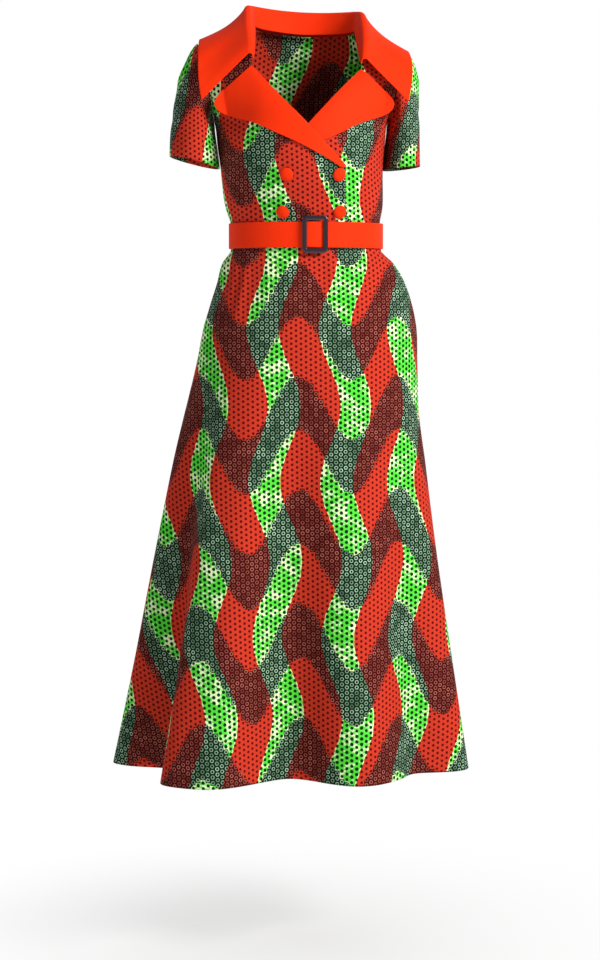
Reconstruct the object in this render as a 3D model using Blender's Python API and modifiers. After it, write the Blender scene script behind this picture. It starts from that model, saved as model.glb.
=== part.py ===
"""A short-sleeved, double-breasted maxi dress with a wide collar, lapels, belt and flared skirt, as worn.

Metres, +Z up. The front faces -Y and +X is the wearer's left. The origin lies midway between the points
where the neckline meets the shoulder seams, which is where the wearer's shoulders hold the dress up.
Every cloth piece is an open surface, worked out from its sizes, that Solidify gives its wall.
"""
from collections import namedtuple
from math import asin, cos, exp, pi, radians, sin, sqrt

import bmesh
import bpy
from mathutils import Vector
from mathutils.bvhtree import BVHTree

# Cloth
PANEL_WALL = 0.0015
COLLAR_WALL = 0.002
STRAP_WALL = 0.0024
SEAM_GAP = 0.0003
SHOULDER_GAP = 0.0009

# Bodice
WAIST_Z = -0.333
NECK_X = 0.085
OVERLAP_X = 0.056
BREAK_FOOT_X = 0.060
BREAK_TOP = (0.088, -0.0665)
BREAK_FOOT_Z = -0.2250
ARMPIT_ROW = 5.0
SIDE_STRIP = 0.985
OVERLAP_LIFT = 0.0027
LAPEL_LIFT = 0.0042
OVERLAP_SPACE_X = (-0.101, -0.066)
LAPEL_SPACE_X = (-0.115, -0.075)
LAPEL_SPACE_Z = (-0.286, -0.256)
LAPEL_SPACE_TOP_Z = (-0.150, -0.115)

# Skirt
SKIRT_TOP_Z = WAIST_Z - SEAM_GAP
HEM_Z = -1.193
SKIRT_AROUND = 34
FOLD_OPENING = 1.15
SEAM_STRIP_TURN = 0.8
SKIRT_ROWS_Z = [
    HEM_Z, -1.11, -1.02, -0.93, -0.84, -0.75, -0.66, -0.575, -0.50,
    -0.44, -0.40, -0.376, -0.357, SKIRT_TOP_Z,
]

# Belt and its buckle
BELT_WIDTH = 0.041
BELT_Z = -0.3335
BELT_HALF_WIDTH = 0.1236
BELT_FRONT_DEPTH = 0.1004
BELT_BACK_DEPTH = 0.0908
BELT_END_BEARING = 7.0
BELT_END_RISE = (26, 8)
BAR_ROOM = 0.0030
BUCKLE_X = 0.005
BUCKLE_SIZE = (0.0415, 0.0595)
BUCKLE_WINDOW = (0.0265, 0.0450)
BUCKLE_CORNER = 0.006
BUCKLE_WINDOW_CORNER = 0.0025
BUCKLE_EDGE = 0.0007
BUCKLE_REST = 0.0004
BUCKLE_THICKNESS = 0.003
BAR_SIZE = (0.005, 0.002, 0.055)
BAR_FOOT_HEIGHT = 0.004
BAR_FOOT_INSET = 0.0025
BAR_FOOT_SINK = 0.001

# Buttons: distance from the centre front and height
BUTTON_RADIUS = 0.011
BUTTON_REST = 0.0004
BUTTON_PLACES = {"upper": (0.0415, -0.2395), "lower": (0.0450, -0.2975)}

# Button: radius and height from the middle of its top to the foot of its shank
BUTTON_PROFILE = [
    (0.0000, 0.0068),
    (0.0045, 0.0064),
    (0.0085, 0.0048),
    (BUTTON_RADIUS, 0.0026),
    (BUTTON_RADIUS - 0.0006, 0.0014),
    (0.0060, 0.0010),
    (0.0042, 0.0000),
    (0.0000, 0.0000),
]

# Colours
RED_ORANGE = (0.90, 0.075, 0.012)
PRINT_GREEN = (0.045, 0.16, 0.06)
DARK_PLUM = (0.035, 0.018, 0.028)

# Cross rows of the worn bodice, waist first. The middle of a row lies at the centre front or back, its
# side at the side seam, the armhole or the shoulder tip, and turn is how far round it has bent by there.
Row = namedtuple("Row", "mid_z mid_y side_x side_y side_z turn")
FRONT_ROWS = [
    Row(-0.3330, -0.0950, 0.1215, 0.000, -0.3330, 90),
    Row(-0.3120, -0.0962, 0.1218, 0.000, -0.3120, 90),
    Row(-0.2800, -0.1070, 0.1290, 0.000, -0.2800, 90),
    Row(-0.2250, -0.1270, 0.1320, 0.000, -0.2250, 90),
    Row(-0.1850, -0.1310, 0.1358, 0.000, -0.1900, 90),
    Row(-0.1500, -0.1240, 0.1390, 0.000, -0.1580, 88),
    Row(-0.1050, -0.1060, 0.1470, -0.038, -0.1180, 66),
    Row(-0.0550, -0.0780, 0.1510, -0.044, -0.0780, 56),
    Row(-0.0080, -0.0420, 0.1610, -0.025, -0.0470, 45),
    Row(0.0095, -0.0040, 0.1690, 0.001, -0.0325, 40),
    Row(0.0110, 0.0050, 0.1700, 0.006, -0.0320, 40),
]
BACK_ROWS = [
    Row(-0.3330, 0.0870, 0.1215, 0.000, -0.3330, 90),
    Row(-0.3120, 0.0876, 0.1218, 0.000, -0.3120, 90),
    Row(-0.2800, 0.0930, 0.1290, 0.000, -0.2800, 90),
    Row(-0.2250, 0.1000, 0.1320, 0.000, -0.2250, 90),
    Row(-0.1850, 0.1040, 0.1358, 0.000, -0.1900, 90),
    Row(-0.1500, 0.1060, 0.1390, 0.000, -0.1580, 88),
    Row(-0.1050, 0.1050, 0.1480, 0.040, -0.1180, 66),
    Row(-0.0600, 0.0970, 0.1530, 0.046, -0.0780, 56),
    Row(-0.0300, 0.0830, 0.1620, 0.034, -0.0470, 48),
]
BACK_NECK_DEPTH = 0.056
BACK_NECK_DROP = 0.006
SHOULDER_ROUNDING = 0.006
BACK_SHOULDER_BULGE = Vector((0, 0.4, 0.9)) * SHOULDER_ROUNDING
BACK_BRINK = Vector((0, 0.005, -0.0005))

# Where the back's columns lie on its rows and along its top edge, and where its rows lie in BACK_ROWS
BACK_SHARES = [0.17, 0.34, 0.5, 0.7, 0.85, SIDE_STRIP, 1]
BACK_TOP_X = [0.031, 0.062, NECK_X, 0.113, 0.141, 0.167, 0.170]
BACK_PLACES = [0, 0.95, 1.8, 2.6, 3.3, 4.0, 4.5, ARMPIT_ROW, 5.5, 6.0, 6.5, 7.0, 7.5, 8.0]

# Inner edge of a front: x at each height, from the waist up the overlap, the break line and the neck
EdgePoint = namedtuple("EdgePoint", "z x")
FRONT_EDGE = [
    EdgePoint(WAIST_Z, -OVERLAP_X),
    EdgePoint(BREAK_FOOT_Z, -BREAK_FOOT_X),
    EdgePoint(BREAK_TOP[1], BREAK_TOP[0]),
    EdgePoint(0.010, NECK_X),
]

# The pose: how far the bodice leans sideways at each height, and how its shoulders tilt
Lean = namedtuple("Lean", "z x")
LEAN = [
    Lean(-0.330, 0.0),
    Lean(-0.225, -0.007),
    Lean(-0.120, -0.008),
    Lean(-0.020, -0.003),
    Lean(0.060, -0.001),
]
SHOULDER_TILT = 0.045
TILT_Z = (-0.120, -0.030)

# Sleeves: hem oval
SleeveHem = namedtuple("SleeveHem", "x half_width half_depth z slope")
SLEEVE_HEMS = {
    "right": SleeveHem(0.1738, 0.0402, 0.056, -0.2150, 0.010),
    "left": SleeveHem(0.1635, 0.0300, 0.056, -0.2230, 0.003),
}
SLEEVE_AROUND = 20
SLEEVE_RINGS = 9

# How a sleeve leaves the armhole and arrives at its hem, as the slopes of the curve between
SLEEVE_HEAD_GAP = 0.0022
SLEEVE_FORWARD = 0.35
UNDERARM_LEAVES = Vector((0.001, 0, -0.030))
SHOULDER_LEAVES = Vector((0.081, 0, -0.075))
UNDERARM_ARRIVES = Vector((0.002, 0, -0.05))
SHOULDER_ARRIVES = Vector((0.002, 0, -0.17))
SLEEVE_HEAD_BULGE = Vector((0, 0.3, 0.8)) * SHOULDER_ROUNDING
SLEEVE_RINGS_SKEW = 1.25

# Skirt: reach to each side and to the front and back at each height
Girth = namedtuple("Girth", "z right left front back")
SKIRT_GIRTHS = [
    Girth(-0.333, 0.1215, 0.1215, 0.0958, 0.0870),
    Girth(-0.346, 0.1218, 0.1218, 0.0962, 0.0874),
    Girth(-0.357, 0.1222, 0.1222, 0.0968, 0.0880),
    Girth(-0.378, 0.1370, 0.1435, 0.1060, 0.1010),
    Girth(-0.412, 0.1450, 0.1620, 0.1150, 0.1130),
    Girth(-0.476, 0.1660, 0.1805, 0.1270, 0.1310),
    Girth(-0.540, 0.1790, 0.1830, 0.1350, 0.1430),
    Girth(-0.623, 0.1990, 0.1860, 0.1440, 0.1560),
    Girth(-0.702, 0.2160, 0.1965, 0.1540, 0.1690),
    Girth(-0.864, 0.2440, 0.2180, 0.1760, 0.1960),
    Girth(-1.027, 0.2700, 0.2380, 0.1980, 0.2200),
    Girth(-1.200, 0.3000, 0.2580, 0.2220, 0.2440),
]

# Skirt folds: bearing round from the centre front towards +X, rise outwards at the hem, how far the fold
# spreads on its two sides, and the height where it starts
Fold = namedtuple("Fold", "bearing rise spread_before spread_after top")
SKIRT_FOLDS = [
    Fold(-106, -0.024, 12, 10, -0.62),
    Fold(-86, 0.022, 12, 12, -0.60),
    Fold(-63, -0.046, 12, 9, -0.50),
    Fold(-42, 0.054, 8, 10, -0.46),
    Fold(-28, 0.056, 10, 9, -0.46),
    Fold(-9, -0.044, 11, 12, -0.50),
    Fold(14, 0.032, 11, 14, -0.52),
    Fold(42, -0.019, 9, 9, -0.56),
    Fold(60, 0.030, 11, 12, -0.58),
    Fold(90, -0.014, 10, 12, -0.70),
    Fold(112, 0.026, 12, 12, -0.58),
    Fold(133, -0.028, 11, 11, -0.52),
    Fold(156, 0.028, 12, 13, -0.50),
    Fold(180, -0.026, 12, 12, -0.54),
    Fold(206, 0.030, 13, 12, -0.48),
    Fold(231, -0.026, 12, 10, -0.55),
]

# Collar stations from the centre back to the front end: the neck seam, the roll line and the outer edge
Station = namedtuple("Station", "seam roll edge sag")
COLLAR_STATIONS = [
    Station((0.0000, 0.0580, -0.0020), (0.0000, 0.0620, 0.0300), (0.0000, 0.1180, -0.0700), 0.004),
    Station((0.0330, 0.0520, -0.0010), (0.0360, 0.0570, 0.0305), (0.0620, 0.1170, -0.0680), 0.004),
    Station((0.0620, 0.0350, 0.0000), (0.0660, 0.0400, 0.0310), (0.1200, 0.1030, -0.0600), 0.006),
    Station((0.0780, 0.0180, 0.0010), (0.0830, 0.0210, 0.0305), (0.1580, 0.0640, -0.0420), 0.008),
    Station((0.0815, 0.0020, 0.0010), (0.0890, 0.0020, 0.0265), (0.1685, 0.0080, -0.0260), 0.009),
    Station((0.0820, -0.0150, -0.0070), (0.0900, -0.0200, 0.0105), (0.1720, -0.0420, -0.0500), 0.007),
    Station((0.0830, -0.0395, -0.0265), (0.0900, -0.0455, -0.0130), (0.1710, -0.0665, -0.0830), 0.003),
    Station((0.0850, -0.0675, -0.0480), (0.0885, -0.0725, -0.0380), (0.1680, -0.0765, -0.1060), 0.000),
    Station((0.0870, -0.0800, -0.0595), (0.0880, -0.0830, -0.0555), (0.1650, -0.0805, -0.1215), 0.000),
]
ROLL_RADIUS = 0.0040
SAG_SKEW = 0.7
COLLAR_ALONG = 26
STAND_MIDDLE = 0.55
ROLL_TURNS = (170, 125, 80, 40)
FALL_STEPS = [0.10, 0.24, 0.42, 0.62, 0.82, 1.0]

# Lapel outline from its top corner down to its foot, in the front view
OutlinePoint = namedtuple("OutlinePoint", "x z")
LAPEL_OUTLINE = [
    OutlinePoint(0.1310, -0.1060),
    OutlinePoint(0.1400, -0.1150),
    OutlinePoint(0.1440, -0.1260),
    OutlinePoint(0.1360, -0.1380),
    OutlinePoint(0.1150, -0.1475),
    OutlinePoint(0.0860, -0.1575),
    OutlinePoint(0.0520, -0.1745),
    OutlinePoint(0.0180, -0.1900),
    OutlinePoint(-0.0180, -0.2085),
    OutlinePoint(-0.0540, -0.2285),
]
LAPEL_ROLL = 0.0035
LAPEL_ROLL_SKEW = 0.6
LAPEL_OPENS_X = (-0.01, 0.05)
LAPEL_ROWS_SKEW = 1.1
LAPEL_REST = 0.0015
LAPEL_ACROSS = 5
LAPEL_DOWN = 17
CHEST_TURN_X = 0.112
SLEEVE_HEAD_Y = 0.062


def clear_objects():
    """Start from an empty scene."""
    for item in list(bpy.data.objects):
        bpy.data.objects.remove(item, do_unlink=True)


def hermite(a, b, slope_a, slope_b, s):
    """A cubic from a to b with the given slopes over a unit step."""
    return (
        a * (2 * s**3 - 3 * s**2 + 1)
        + slope_a * (s**3 - 2 * s**2 + s)
        + b * (3 * s**2 - 2 * s**3)
        + slope_b * (s**3 - s**2)
    )


def smooth_step(value):
    """0 below 0, 1 above 1 and an even rise between."""
    s = min(1.0, max(0.0, value))
    return s * s * (3 - 2 * s)


def rise_between(value, low, high):
    """0 up to low, 1 from high on and an even rise between."""
    return smooth_step((value - low) / (high - low))


def smooth_read(rows, key, column, value):
    """Read a column of a table at a value of its key, on a smooth curve through the rows."""
    keys = [getattr(row, key) for row in rows]
    step = 1 if keys[-1] > keys[0] else -1
    last = len(rows) - 1
    i = 0
    while i < last - 1 and (value - keys[i + 1]) * step > 0:
        i += 1
    heights = [getattr(row, column) for row in rows]

    def slope(j):
        before, after = max(0, j - 1), min(last, j + 1)
        return (heights[after] - heights[before]) / (keys[after] - keys[before])

    width = keys[i + 1] - keys[i]
    s = min(1.0, max(0.0, (value - keys[i]) / width))
    return hermite(heights[i], heights[i + 1], slope(i) * width, slope(i + 1) * width, s)


def straight_read(rows, key, column, value):
    """Read a column of a table at a value of its key, on straight lines between the rows."""
    for low, high in zip(rows, rows[1:]):
        k0, k1 = getattr(low, key), getattr(high, key)
        if value <= k1 or high is rows[-1]:
            s = min(1.0, max(0.0, (value - k0) / (k1 - k0)))
            return getattr(low, column) * (1 - s) + getattr(high, column) * s
    return getattr(rows[-1], column)


def smooth_row(rows, place):
    """The row at a fractional place in a table, on smooth curves through its rows."""
    last = len(rows) - 1
    i = min(last - 1, max(0, int(place)))
    s = place - i
    columns = []
    for j in range(len(rows[0])):
        a, b = rows[i][j], rows[i + 1][j]
        before = rows[i - 1][j] if i > 0 else a
        after = rows[i + 2][j] if i + 2 <= last else b
        slope_a = (b - before) / (2 if i > 0 else 1)
        slope_b = (after - a) / (2 if i + 2 <= last else 1)
        columns.append(hermite(a, b, slope_a, slope_b, s))
    return type(rows[0])(*columns)


def bodice_row(rows, place):
    """A row of the bodice at a fractional place. Up to the armpit its side is the straight side seam."""
    row = smooth_row(rows, place)
    return row._replace(side_y=0.0) if place < ARMPIT_ROW else row


def row_point(row, share):
    """A point of a bodice row: share 0 is its middle, 1 its left side and -1 its right side."""
    turn = radians(row.turn)
    angle = share * turn
    bulge = (cos(angle) - cos(turn)) / (1 - cos(turn))
    return Vector((
        row.side_x * sin(angle) / sin(turn),
        row.side_y + (row.mid_y - row.side_y) * bulge,
        row.side_z + (row.mid_z - row.side_z) * bulge,
    ))


def halve(low, high, is_high, steps=30):
    """The value between low and high where is_high turns true."""
    for _ in range(steps):
        middle = (low + high) / 2
        if is_high(middle):
            high = middle
        else:
            low = middle
    return (low + high) / 2


def edge_share(row):
    """Where a row of the left front meets its inner edge."""
    def past_edge(share):
        point = row_point(row, share)
        return point.x > straight_read(FRONT_EDGE, "z", "x", point.z)

    return halve(-0.9, 1.0, past_edge)


def place_with_edge_at(z):
    """The place in FRONT_ROWS whose row meets the inner edge at a height."""
    def above(place):
        row = bodice_row(FRONT_ROWS, place)
        return row_point(row, edge_share(row)).z > z

    return halve(0.0, len(FRONT_ROWS) - 1.0, above)


def front_y(x, z):
    """Depth of the worn front at a point of the front view."""
    def point_at(place):
        row = bodice_row(FRONT_ROWS, place)
        turn = radians(row.turn)
        angle = asin(min(1.0, abs(x) * sin(turn) / row.side_x))
        return row_point(row, angle / turn)

    place = halve(0.0, len(FRONT_ROWS) - 1.0, lambda value: point_at(value).z > z, 20)
    return point_at(place).y


def chest_y(x, z):
    """Depth of the front as a stiff layer lies on it: past the chest it goes on straight, over the sleeve."""
    side = abs(x)
    if side <= CHEST_TURN_X:
        return front_y(side, z)
    near = front_y(CHEST_TURN_X, z)
    slope = (near - front_y(CHEST_TURN_X - 0.01, z)) / 0.01
    return min(near + slope * (side - CHEST_TURN_X), -SLEEVE_HEAD_Y)


def off_chest(x, z, lift):
    """A point straight in front of the chest that is a given height off its slanted face."""
    step = 0.004
    here = chest_y(x, z)
    across = (chest_y(x + step, z) - here) / step
    upwards = (chest_y(x, z + step) - here) / step
    return Vector((x, here - lift * sqrt(1 + across**2 + upwards**2), z))


def posed(point):
    """The point moved into the wearer's stance, which leans a little and has one shoulder higher."""
    x, y, z = point
    tilt = SHOULDER_TILT * rise_between(z, *TILT_Z)
    return Vector((x + smooth_read(LEAN, "z", "x", z), y, z - tilt * x))


def mirrored(grid):
    """The same grid for the other side of the body, with its columns turned round to face outwards."""
    return [[Vector((-p[0], p[1], p[2])) for p in reversed(row)] for row in grid]


def material(name, colour, roughness, metallic=0.0):
    """A Principled BSDF material of the object's own."""
    made = bpy.data.materials.new(name)
    made.use_nodes = True
    shader = made.node_tree.nodes["Principled BSDF"]
    shader.inputs["Base Color"].default_value = (*colour, 1.0)
    shader.inputs["Roughness"].default_value = roughness
    shader.inputs["Metallic"].default_value = metallic
    return made


def add_mesh_object(name, mesh, colour, roughness):
    """Put a mesh in the dress's collection as one named piece with its own material."""
    piece = bpy.data.objects.new(name, mesh)
    piece.data.materials.append(material(name + "_material", colour, roughness))
    COLLECTION.objects.link(piece)
    mesh.shade_smooth()
    mesh.set_sharp_from_angle(angle=radians(40))
    return piece


def cloth_piece(name, grid, wall, colour, roughness=0.8, closed=False):
    """A wall of cloth on a grid of outer points, whose rows run upwards and columns towards +X."""
    form = bmesh.new()
    rows = [[form.verts.new(point) for point in row] for row in grid]
    for low, high in zip(rows, rows[1:]):
        count = len(low) if closed else len(low) - 1
        for i in range(count):
            j = (i + 1) % len(low)
            form.faces.new((low[i], low[j], high[j], high[i]))
    mesh = bpy.data.meshes.new(name)
    form.to_mesh(mesh)
    form.free()
    piece = add_mesh_object(name, mesh, colour, roughness)
    solidify = piece.modifiers.new("Wall", "SOLIDIFY")
    solidify.thickness = wall
    solidify.offset = -1.0
    solidify.use_even_offset = True
    solidify.use_quality_normals = True
    return piece


def front_grid(across=10):
    """Outer points of the left front, from its inner edge to its side."""
    foot = place_with_edge_at(BREAK_FOOT_Z)
    top = place_with_edge_at(BREAK_TOP[1])
    end = len(FRONT_ROWS) - 1.0
    places = [foot * i / 5 for i in range(5)]
    places += [foot + (top - foot) * i / 5 for i in range(5)]
    places += [top + (end - 1 - top) * i / 3 for i in range(3)]
    places += [end - 1, end]
    grid = []
    for place in places:
        row = bodice_row(FRONT_ROWS, place)
        start = edge_share(row)
        shares = [start + (SIDE_STRIP - start) * i / (across - 1) for i in range(across)] + [1.0]
        line = [row_point(row, share) for share in shares]
        gap = SEAM_GAP if place < ARMPIT_ROW else SHOULDER_GAP
        grid.append([point - Vector((0, gap / 2, 0)) for point in line])
    return grid


def under_lapel(x, z):
    """How much the left lapel fills the space between the two fronts, from 0 to 1."""
    below_neck = rise_between(z, *LAPEL_SPACE_Z) * (1 - rise_between(z, *LAPEL_SPACE_TOP_Z))
    return below_neck * rise_between(x, *LAPEL_SPACE_X)


def right_front_lift(point):
    """How far the right front stands off the left one, over the overlap and the hidden lapel."""
    x, _, z = point
    overlap = rise_between(x, *OVERLAP_SPACE_X)
    return OVERLAP_LIFT * overlap + LAPEL_LIFT * under_lapel(x, z)


def make_fronts():
    """The two fronts. The right one lies over the left one and is lifted clear of it; returns both grids."""
    left = front_grid()
    right = mirrored(left)
    right = [[p - Vector((0, right_front_lift(p), 0)) for p in row] for row in right]
    left = [[posed(p) for p in row] for row in left]
    right = [[posed(p) for p in row] for row in right]
    cloth_piece("bodice_front_left", left, PANEL_WALL, PRINT_GREEN)
    cloth_piece("bodice_front_right", right, PANEL_WALL, PRINT_GREEN)
    return left, right


def back_top_point(x):
    """A point of the back's top edge: the shoulder seam, or the neckline between the seams."""
    side = abs(x)
    shoulder = FRONT_ROWS[-1]
    if side >= NECK_X:
        turn = radians(shoulder.turn)
        share = asin(min(1.0, side * sin(turn) / shoulder.side_x)) / turn
        point = row_point(shoulder, share)
        return Vector((x, point.y, point.z))
    neck_point = back_top_point(NECK_X)
    curve = sqrt(1 - (side / NECK_X) ** 2)
    return Vector((x, neck_point.y + BACK_NECK_DEPTH * curve, neck_point.z - BACK_NECK_DROP * curve))


def back_grid():
    """Outer points of the back, from side to side."""
    shares = [-share for share in reversed(BACK_SHARES)] + [0] + BACK_SHARES
    across = [-x for x in reversed(BACK_TOP_X)] + [0] + BACK_TOP_X
    grid = [[row_point(bodice_row(BACK_ROWS, place), share) for share in shares] for place in BACK_PLACES]
    top = [back_top_point(x) for x in across]
    below = grid[-1]
    middle = []
    for low, high in zip(below, top):
        middle.append((low + high) / 2 + BACK_SHOULDER_BULGE)
    brink = [high + BACK_BRINK for high in top]
    grid += [middle, brink, top]
    side_seam_rows = BACK_PLACES.index(ARMPIT_ROW)
    for i, row in enumerate(grid):
        gap = SEAM_GAP if i < side_seam_rows else SHOULDER_GAP
        for point in row:
            point.y += gap / 2
    return grid


def make_back():
    """The back, whose columns run towards -X so that its wall faces outwards."""
    grid = [[posed(p) for p in reversed(row)] for row in back_grid()]
    cloth_piece("bodice_back", grid, PANEL_WALL, PRINT_GREEN)


def armhole_loop():
    """Points round the left armhole: underarm, front, shoulder tip, back."""
    half = SLEEVE_AROUND // 2
    front_end = len(FRONT_ROWS) - 1.0
    loop = []
    for i in range(half):
        place = ARMPIT_ROW + (front_end - ARMPIT_ROW) * i / half
        loop.append(row_point(bodice_row(FRONT_ROWS, place), 1.0))
    loop.append(row_point(FRONT_ROWS[-1], 1.0))
    back_end = len(BACK_ROWS) - 1.0
    for i in range(half - 1, 0, -1):
        place = ARMPIT_ROW + (back_end + 1 - ARMPIT_ROW) * i / half
        if place > back_end:
            s = place - back_end
            low, high = row_point(BACK_ROWS[-1], 1.0), loop[half]
            loop.append(low.lerp(high, s) + SLEEVE_HEAD_BULGE * s * (1 - s) * 4)
        else:
            loop.append(row_point(bodice_row(BACK_ROWS, place), 1.0))
    return loop


def sleeve_grid(side):
    """Rings of a left-hand sleeve, hem first."""
    hem = SLEEVE_HEMS[side]
    loop = armhole_loop()
    low_z, high_z = loop[0].z, loop[SLEEVE_AROUND // 2].z
    rings = []
    for k in range(SLEEVE_RINGS + 1):
        s = (k / SLEEVE_RINGS) ** SLEEVE_RINGS_SKEW
        ring = []
        for i, seam in enumerate(loop):
            angle = 2 * pi * i / SLEEVE_AROUND
            height = (seam.z - low_z) / (high_z - low_z)
            start = seam + Vector((SHOULDER_GAP + SLEEVE_HEAD_GAP * height, 0, 0))
            end = Vector((
                hem.x - hem.half_width * cos(angle),
                -hem.half_depth * sin(angle),
                hem.z - hem.slope * cos(angle),
            ))
            leave = UNDERARM_LEAVES.lerp(SHOULDER_LEAVES, height) + Vector((0, seam.y * SLEEVE_FORWARD, 0))
            arrive = UNDERARM_ARRIVES.lerp(SHOULDER_ARRIVES, height)
            ring.append(hermite(start, end, leave, arrive, s))
        rings.append(ring)
    return rings[::-1]


def make_sleeves():
    """The two sleeves, just clear of the bodice they hang beside."""
    left = [[posed(p) for p in ring] for ring in sleeve_grid("left")]
    cloth_piece("sleeve_left", left, PANEL_WALL, PRINT_GREEN, closed=True)
    right = [[posed(p) for p in ring] for ring in mirrored(sleeve_grid("right"))]
    cloth_piece("sleeve_right", right, PANEL_WALL, PRINT_GREEN, closed=True)


def bearing_gap(a, b):
    """The signed turn from bearing b to bearing a, in degrees."""
    return (a - b + 180) % 360 - 180


def fold_rise(bearing, z):
    """How far the folds move the skirt outwards at a bearing and height."""
    rise = 0.0
    for fold in SKIRT_FOLDS:
        turn = bearing_gap(bearing, fold.bearing)
        spread = fold.spread_before if turn < 0 else fold.spread_after
        depth = max(0.0, (fold.top - z) / (fold.top - HEM_Z))
        rise += fold.rise * depth**FOLD_OPENING * exp(-((turn / spread) ** 2))
    return rise


def skirt_point(bearing, z):
    """A point of the skirt's outer face."""
    angle = radians(bearing)
    to_side = sin(angle)
    to_front = cos(angle)
    side = "left" if to_side > 0 else "right"
    end = "front" if to_front > 0 else "back"
    reach_x = smooth_read(SKIRT_GIRTHS, "z", side, z)
    reach_y = smooth_read(SKIRT_GIRTHS, "z", end, z)
    rise = fold_rise(bearing, z)
    return Vector(((reach_x + rise) * to_side, -(reach_y + rise) * to_front, z))


def make_skirt():
    """The front and back of the skirt, which meet at the side seams."""
    inner = 90 - SEAM_STRIP_TURN
    turns = [-90] + [inner * (2 * i / SKIRT_AROUND - 1) for i in range(SKIRT_AROUND + 1)] + [90]
    for name, middle, towards_seam in (("skirt_front", 0, -1), ("skirt_back", 180, 1)):
        grid = []
        for z in SKIRT_ROWS_Z:
            row = [skirt_point(middle + turn, z) for turn in turns]
            for point in row:
                point.y += towards_seam * SEAM_GAP / 2
            grid.append(row)
        cloth_piece(name, grid, PANEL_WALL, PRINT_GREEN)


def station_at(place):
    """The collar's station at a fractional place, on smooth curves through the stations."""
    last = len(COLLAR_STATIONS) - 1
    i = min(last - 1, max(0, int(place)))
    s = place - i
    read = []
    for column in range(4):
        near = [COLLAR_STATIONS[j][column] for j in (max(0, i - 1), i, i + 1, min(last, i + 2))]
        if column < 3:
            near = [Vector(point) for point in near]
        if i == 0:
            first = near[2]
            near[0] = Vector((-first[0], first[1], first[2])) if column < 3 else first
        slope_a = (near[2] - near[0]) / 2
        slope_b = (near[3] - near[1]) / (2 if i + 2 <= last else 1)
        read.append(hermite(near[1], near[2], slope_a, slope_b, s))
    return Station(*read)


def collar_line(place):
    """One section of the collar, from the neck seam over the roll to the outer edge."""
    station = station_at(place)
    fall = station.edge - station.roll
    flat = Vector((fall.x, fall.y, 0)).normalized()
    roll_centre = station.roll + flat * ROLL_RADIUS
    line = [station.seam, station.seam.lerp(station.roll, STAND_MIDDLE)]
    for angle in ROLL_TURNS:
        turn = radians(angle)
        line.append(roll_centre + flat * ROLL_RADIUS * cos(turn) + Vector((0, 0, ROLL_RADIUS * sin(turn))))
    start = line[-1]
    for s in FALL_STEPS:
        point = start.lerp(station.edge, s)
        point.z -= station.sag * sin(pi * s**SAG_SKEW)
        line.append(point)
    return line


def make_collar():
    """The collar, one piece from front end to front end."""
    last = len(COLLAR_STATIONS) - 1
    lines = []
    for i in range(COLLAR_ALONG + 1):
        place = last * (1 - 2 * i / COLLAR_ALONG)
        line = [Vector(p) for p in collar_line(abs(place))]
        if place < 0:
            line = [Vector((-p.x, p.y, p.z)) for p in line]
        lines.append([posed(p) for p in line])
    grid = list(zip(*lines))
    cloth_piece("collar", grid, COLLAR_WALL, RED_ORANGE, roughness=0.6)


def lapel_grid():
    """Outer points of the left lapel, from the break line to its outline."""
    grid = []
    last = len(LAPEL_OUTLINE) - 1
    top_x, top_z = BREAK_TOP
    foot = Vector((-BREAK_FOOT_X + 0.001, BREAK_FOOT_Z - 0.002))
    head = Vector((top_x + 0.0006, top_z - 0.002))
    for k in range(LAPEL_DOWN + 1):
        inner = head.lerp(foot, (k / LAPEL_DOWN) ** LAPEL_ROWS_SKEW)
        outer = Vector(smooth_row(LAPEL_OUTLINE, last * k / LAPEL_DOWN))
        open_part = rise_between(inner.x, *LAPEL_OPENS_X)
        row = []
        for i in range(LAPEL_ACROSS + 1):
            s = i / LAPEL_ACROSS
            flat = inner.lerp(outer, s)
            roll = LAPEL_ROLL * sin(pi * s**LAPEL_ROLL_SKEW) * open_part
            lift = COLLAR_WALL + LAPEL_REST + roll
            row.append(off_chest(flat.x, flat.y, lift))
        grid.append(row)
    return grid[::-1]


def grid_tree(grid):
    """A grid of points as faces that a ray can meet."""
    width = len(grid[0])
    points = [point for row in grid for point in row]
    faces = []
    for i in range(len(grid) - 1):
        for j in range(width - 1):
            corner = i * width + j
            faces.append((corner, corner + 1, corner + width + 1, corner + width))
    return BVHTree.FromPolygons(points, faces)


def keep_in_front(point, cloth):
    """The point, moved forwards where a lapel's wall would come too near the cloth below."""
    seat, outwards, _, _ = cloth.ray_cast(Vector((point.x, -1, point.z)), Vector((0, 1, 0)))
    if seat:
        point.y = min(point.y, seat.y - (COLLAR_WALL + LAPEL_REST) / abs(outwards.y))
    return point


def make_lapels(left_front, right_front):
    """The lapels, laid on the fronts' outer faces."""
    left = lapel_grid()
    right = mirrored(left)
    for row in right:
        for point in row:
            point.y -= right_front_lift(point)
    for name, grid, front in (("lapel_left", left, left_front), ("lapel_right", right, right_front)):
        cloth = grid_tree(front)
        laid = [[keep_in_front(posed(p), cloth) for p in row] for row in grid]
        cloth_piece(name, laid, COLLAR_WALL, RED_ORANGE, 0.6)


def belt_point(bearing, outwards):
    """A point of the belt's path round the waist."""
    angle = radians(bearing)
    depth = BELT_FRONT_DEPTH if cos(angle) > 0 else BELT_BACK_DEPTH
    return Vector((
        (BELT_HALF_WIDTH + outwards) * sin(angle),
        -(depth + outwards) * cos(angle),
        0,
    ))


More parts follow.
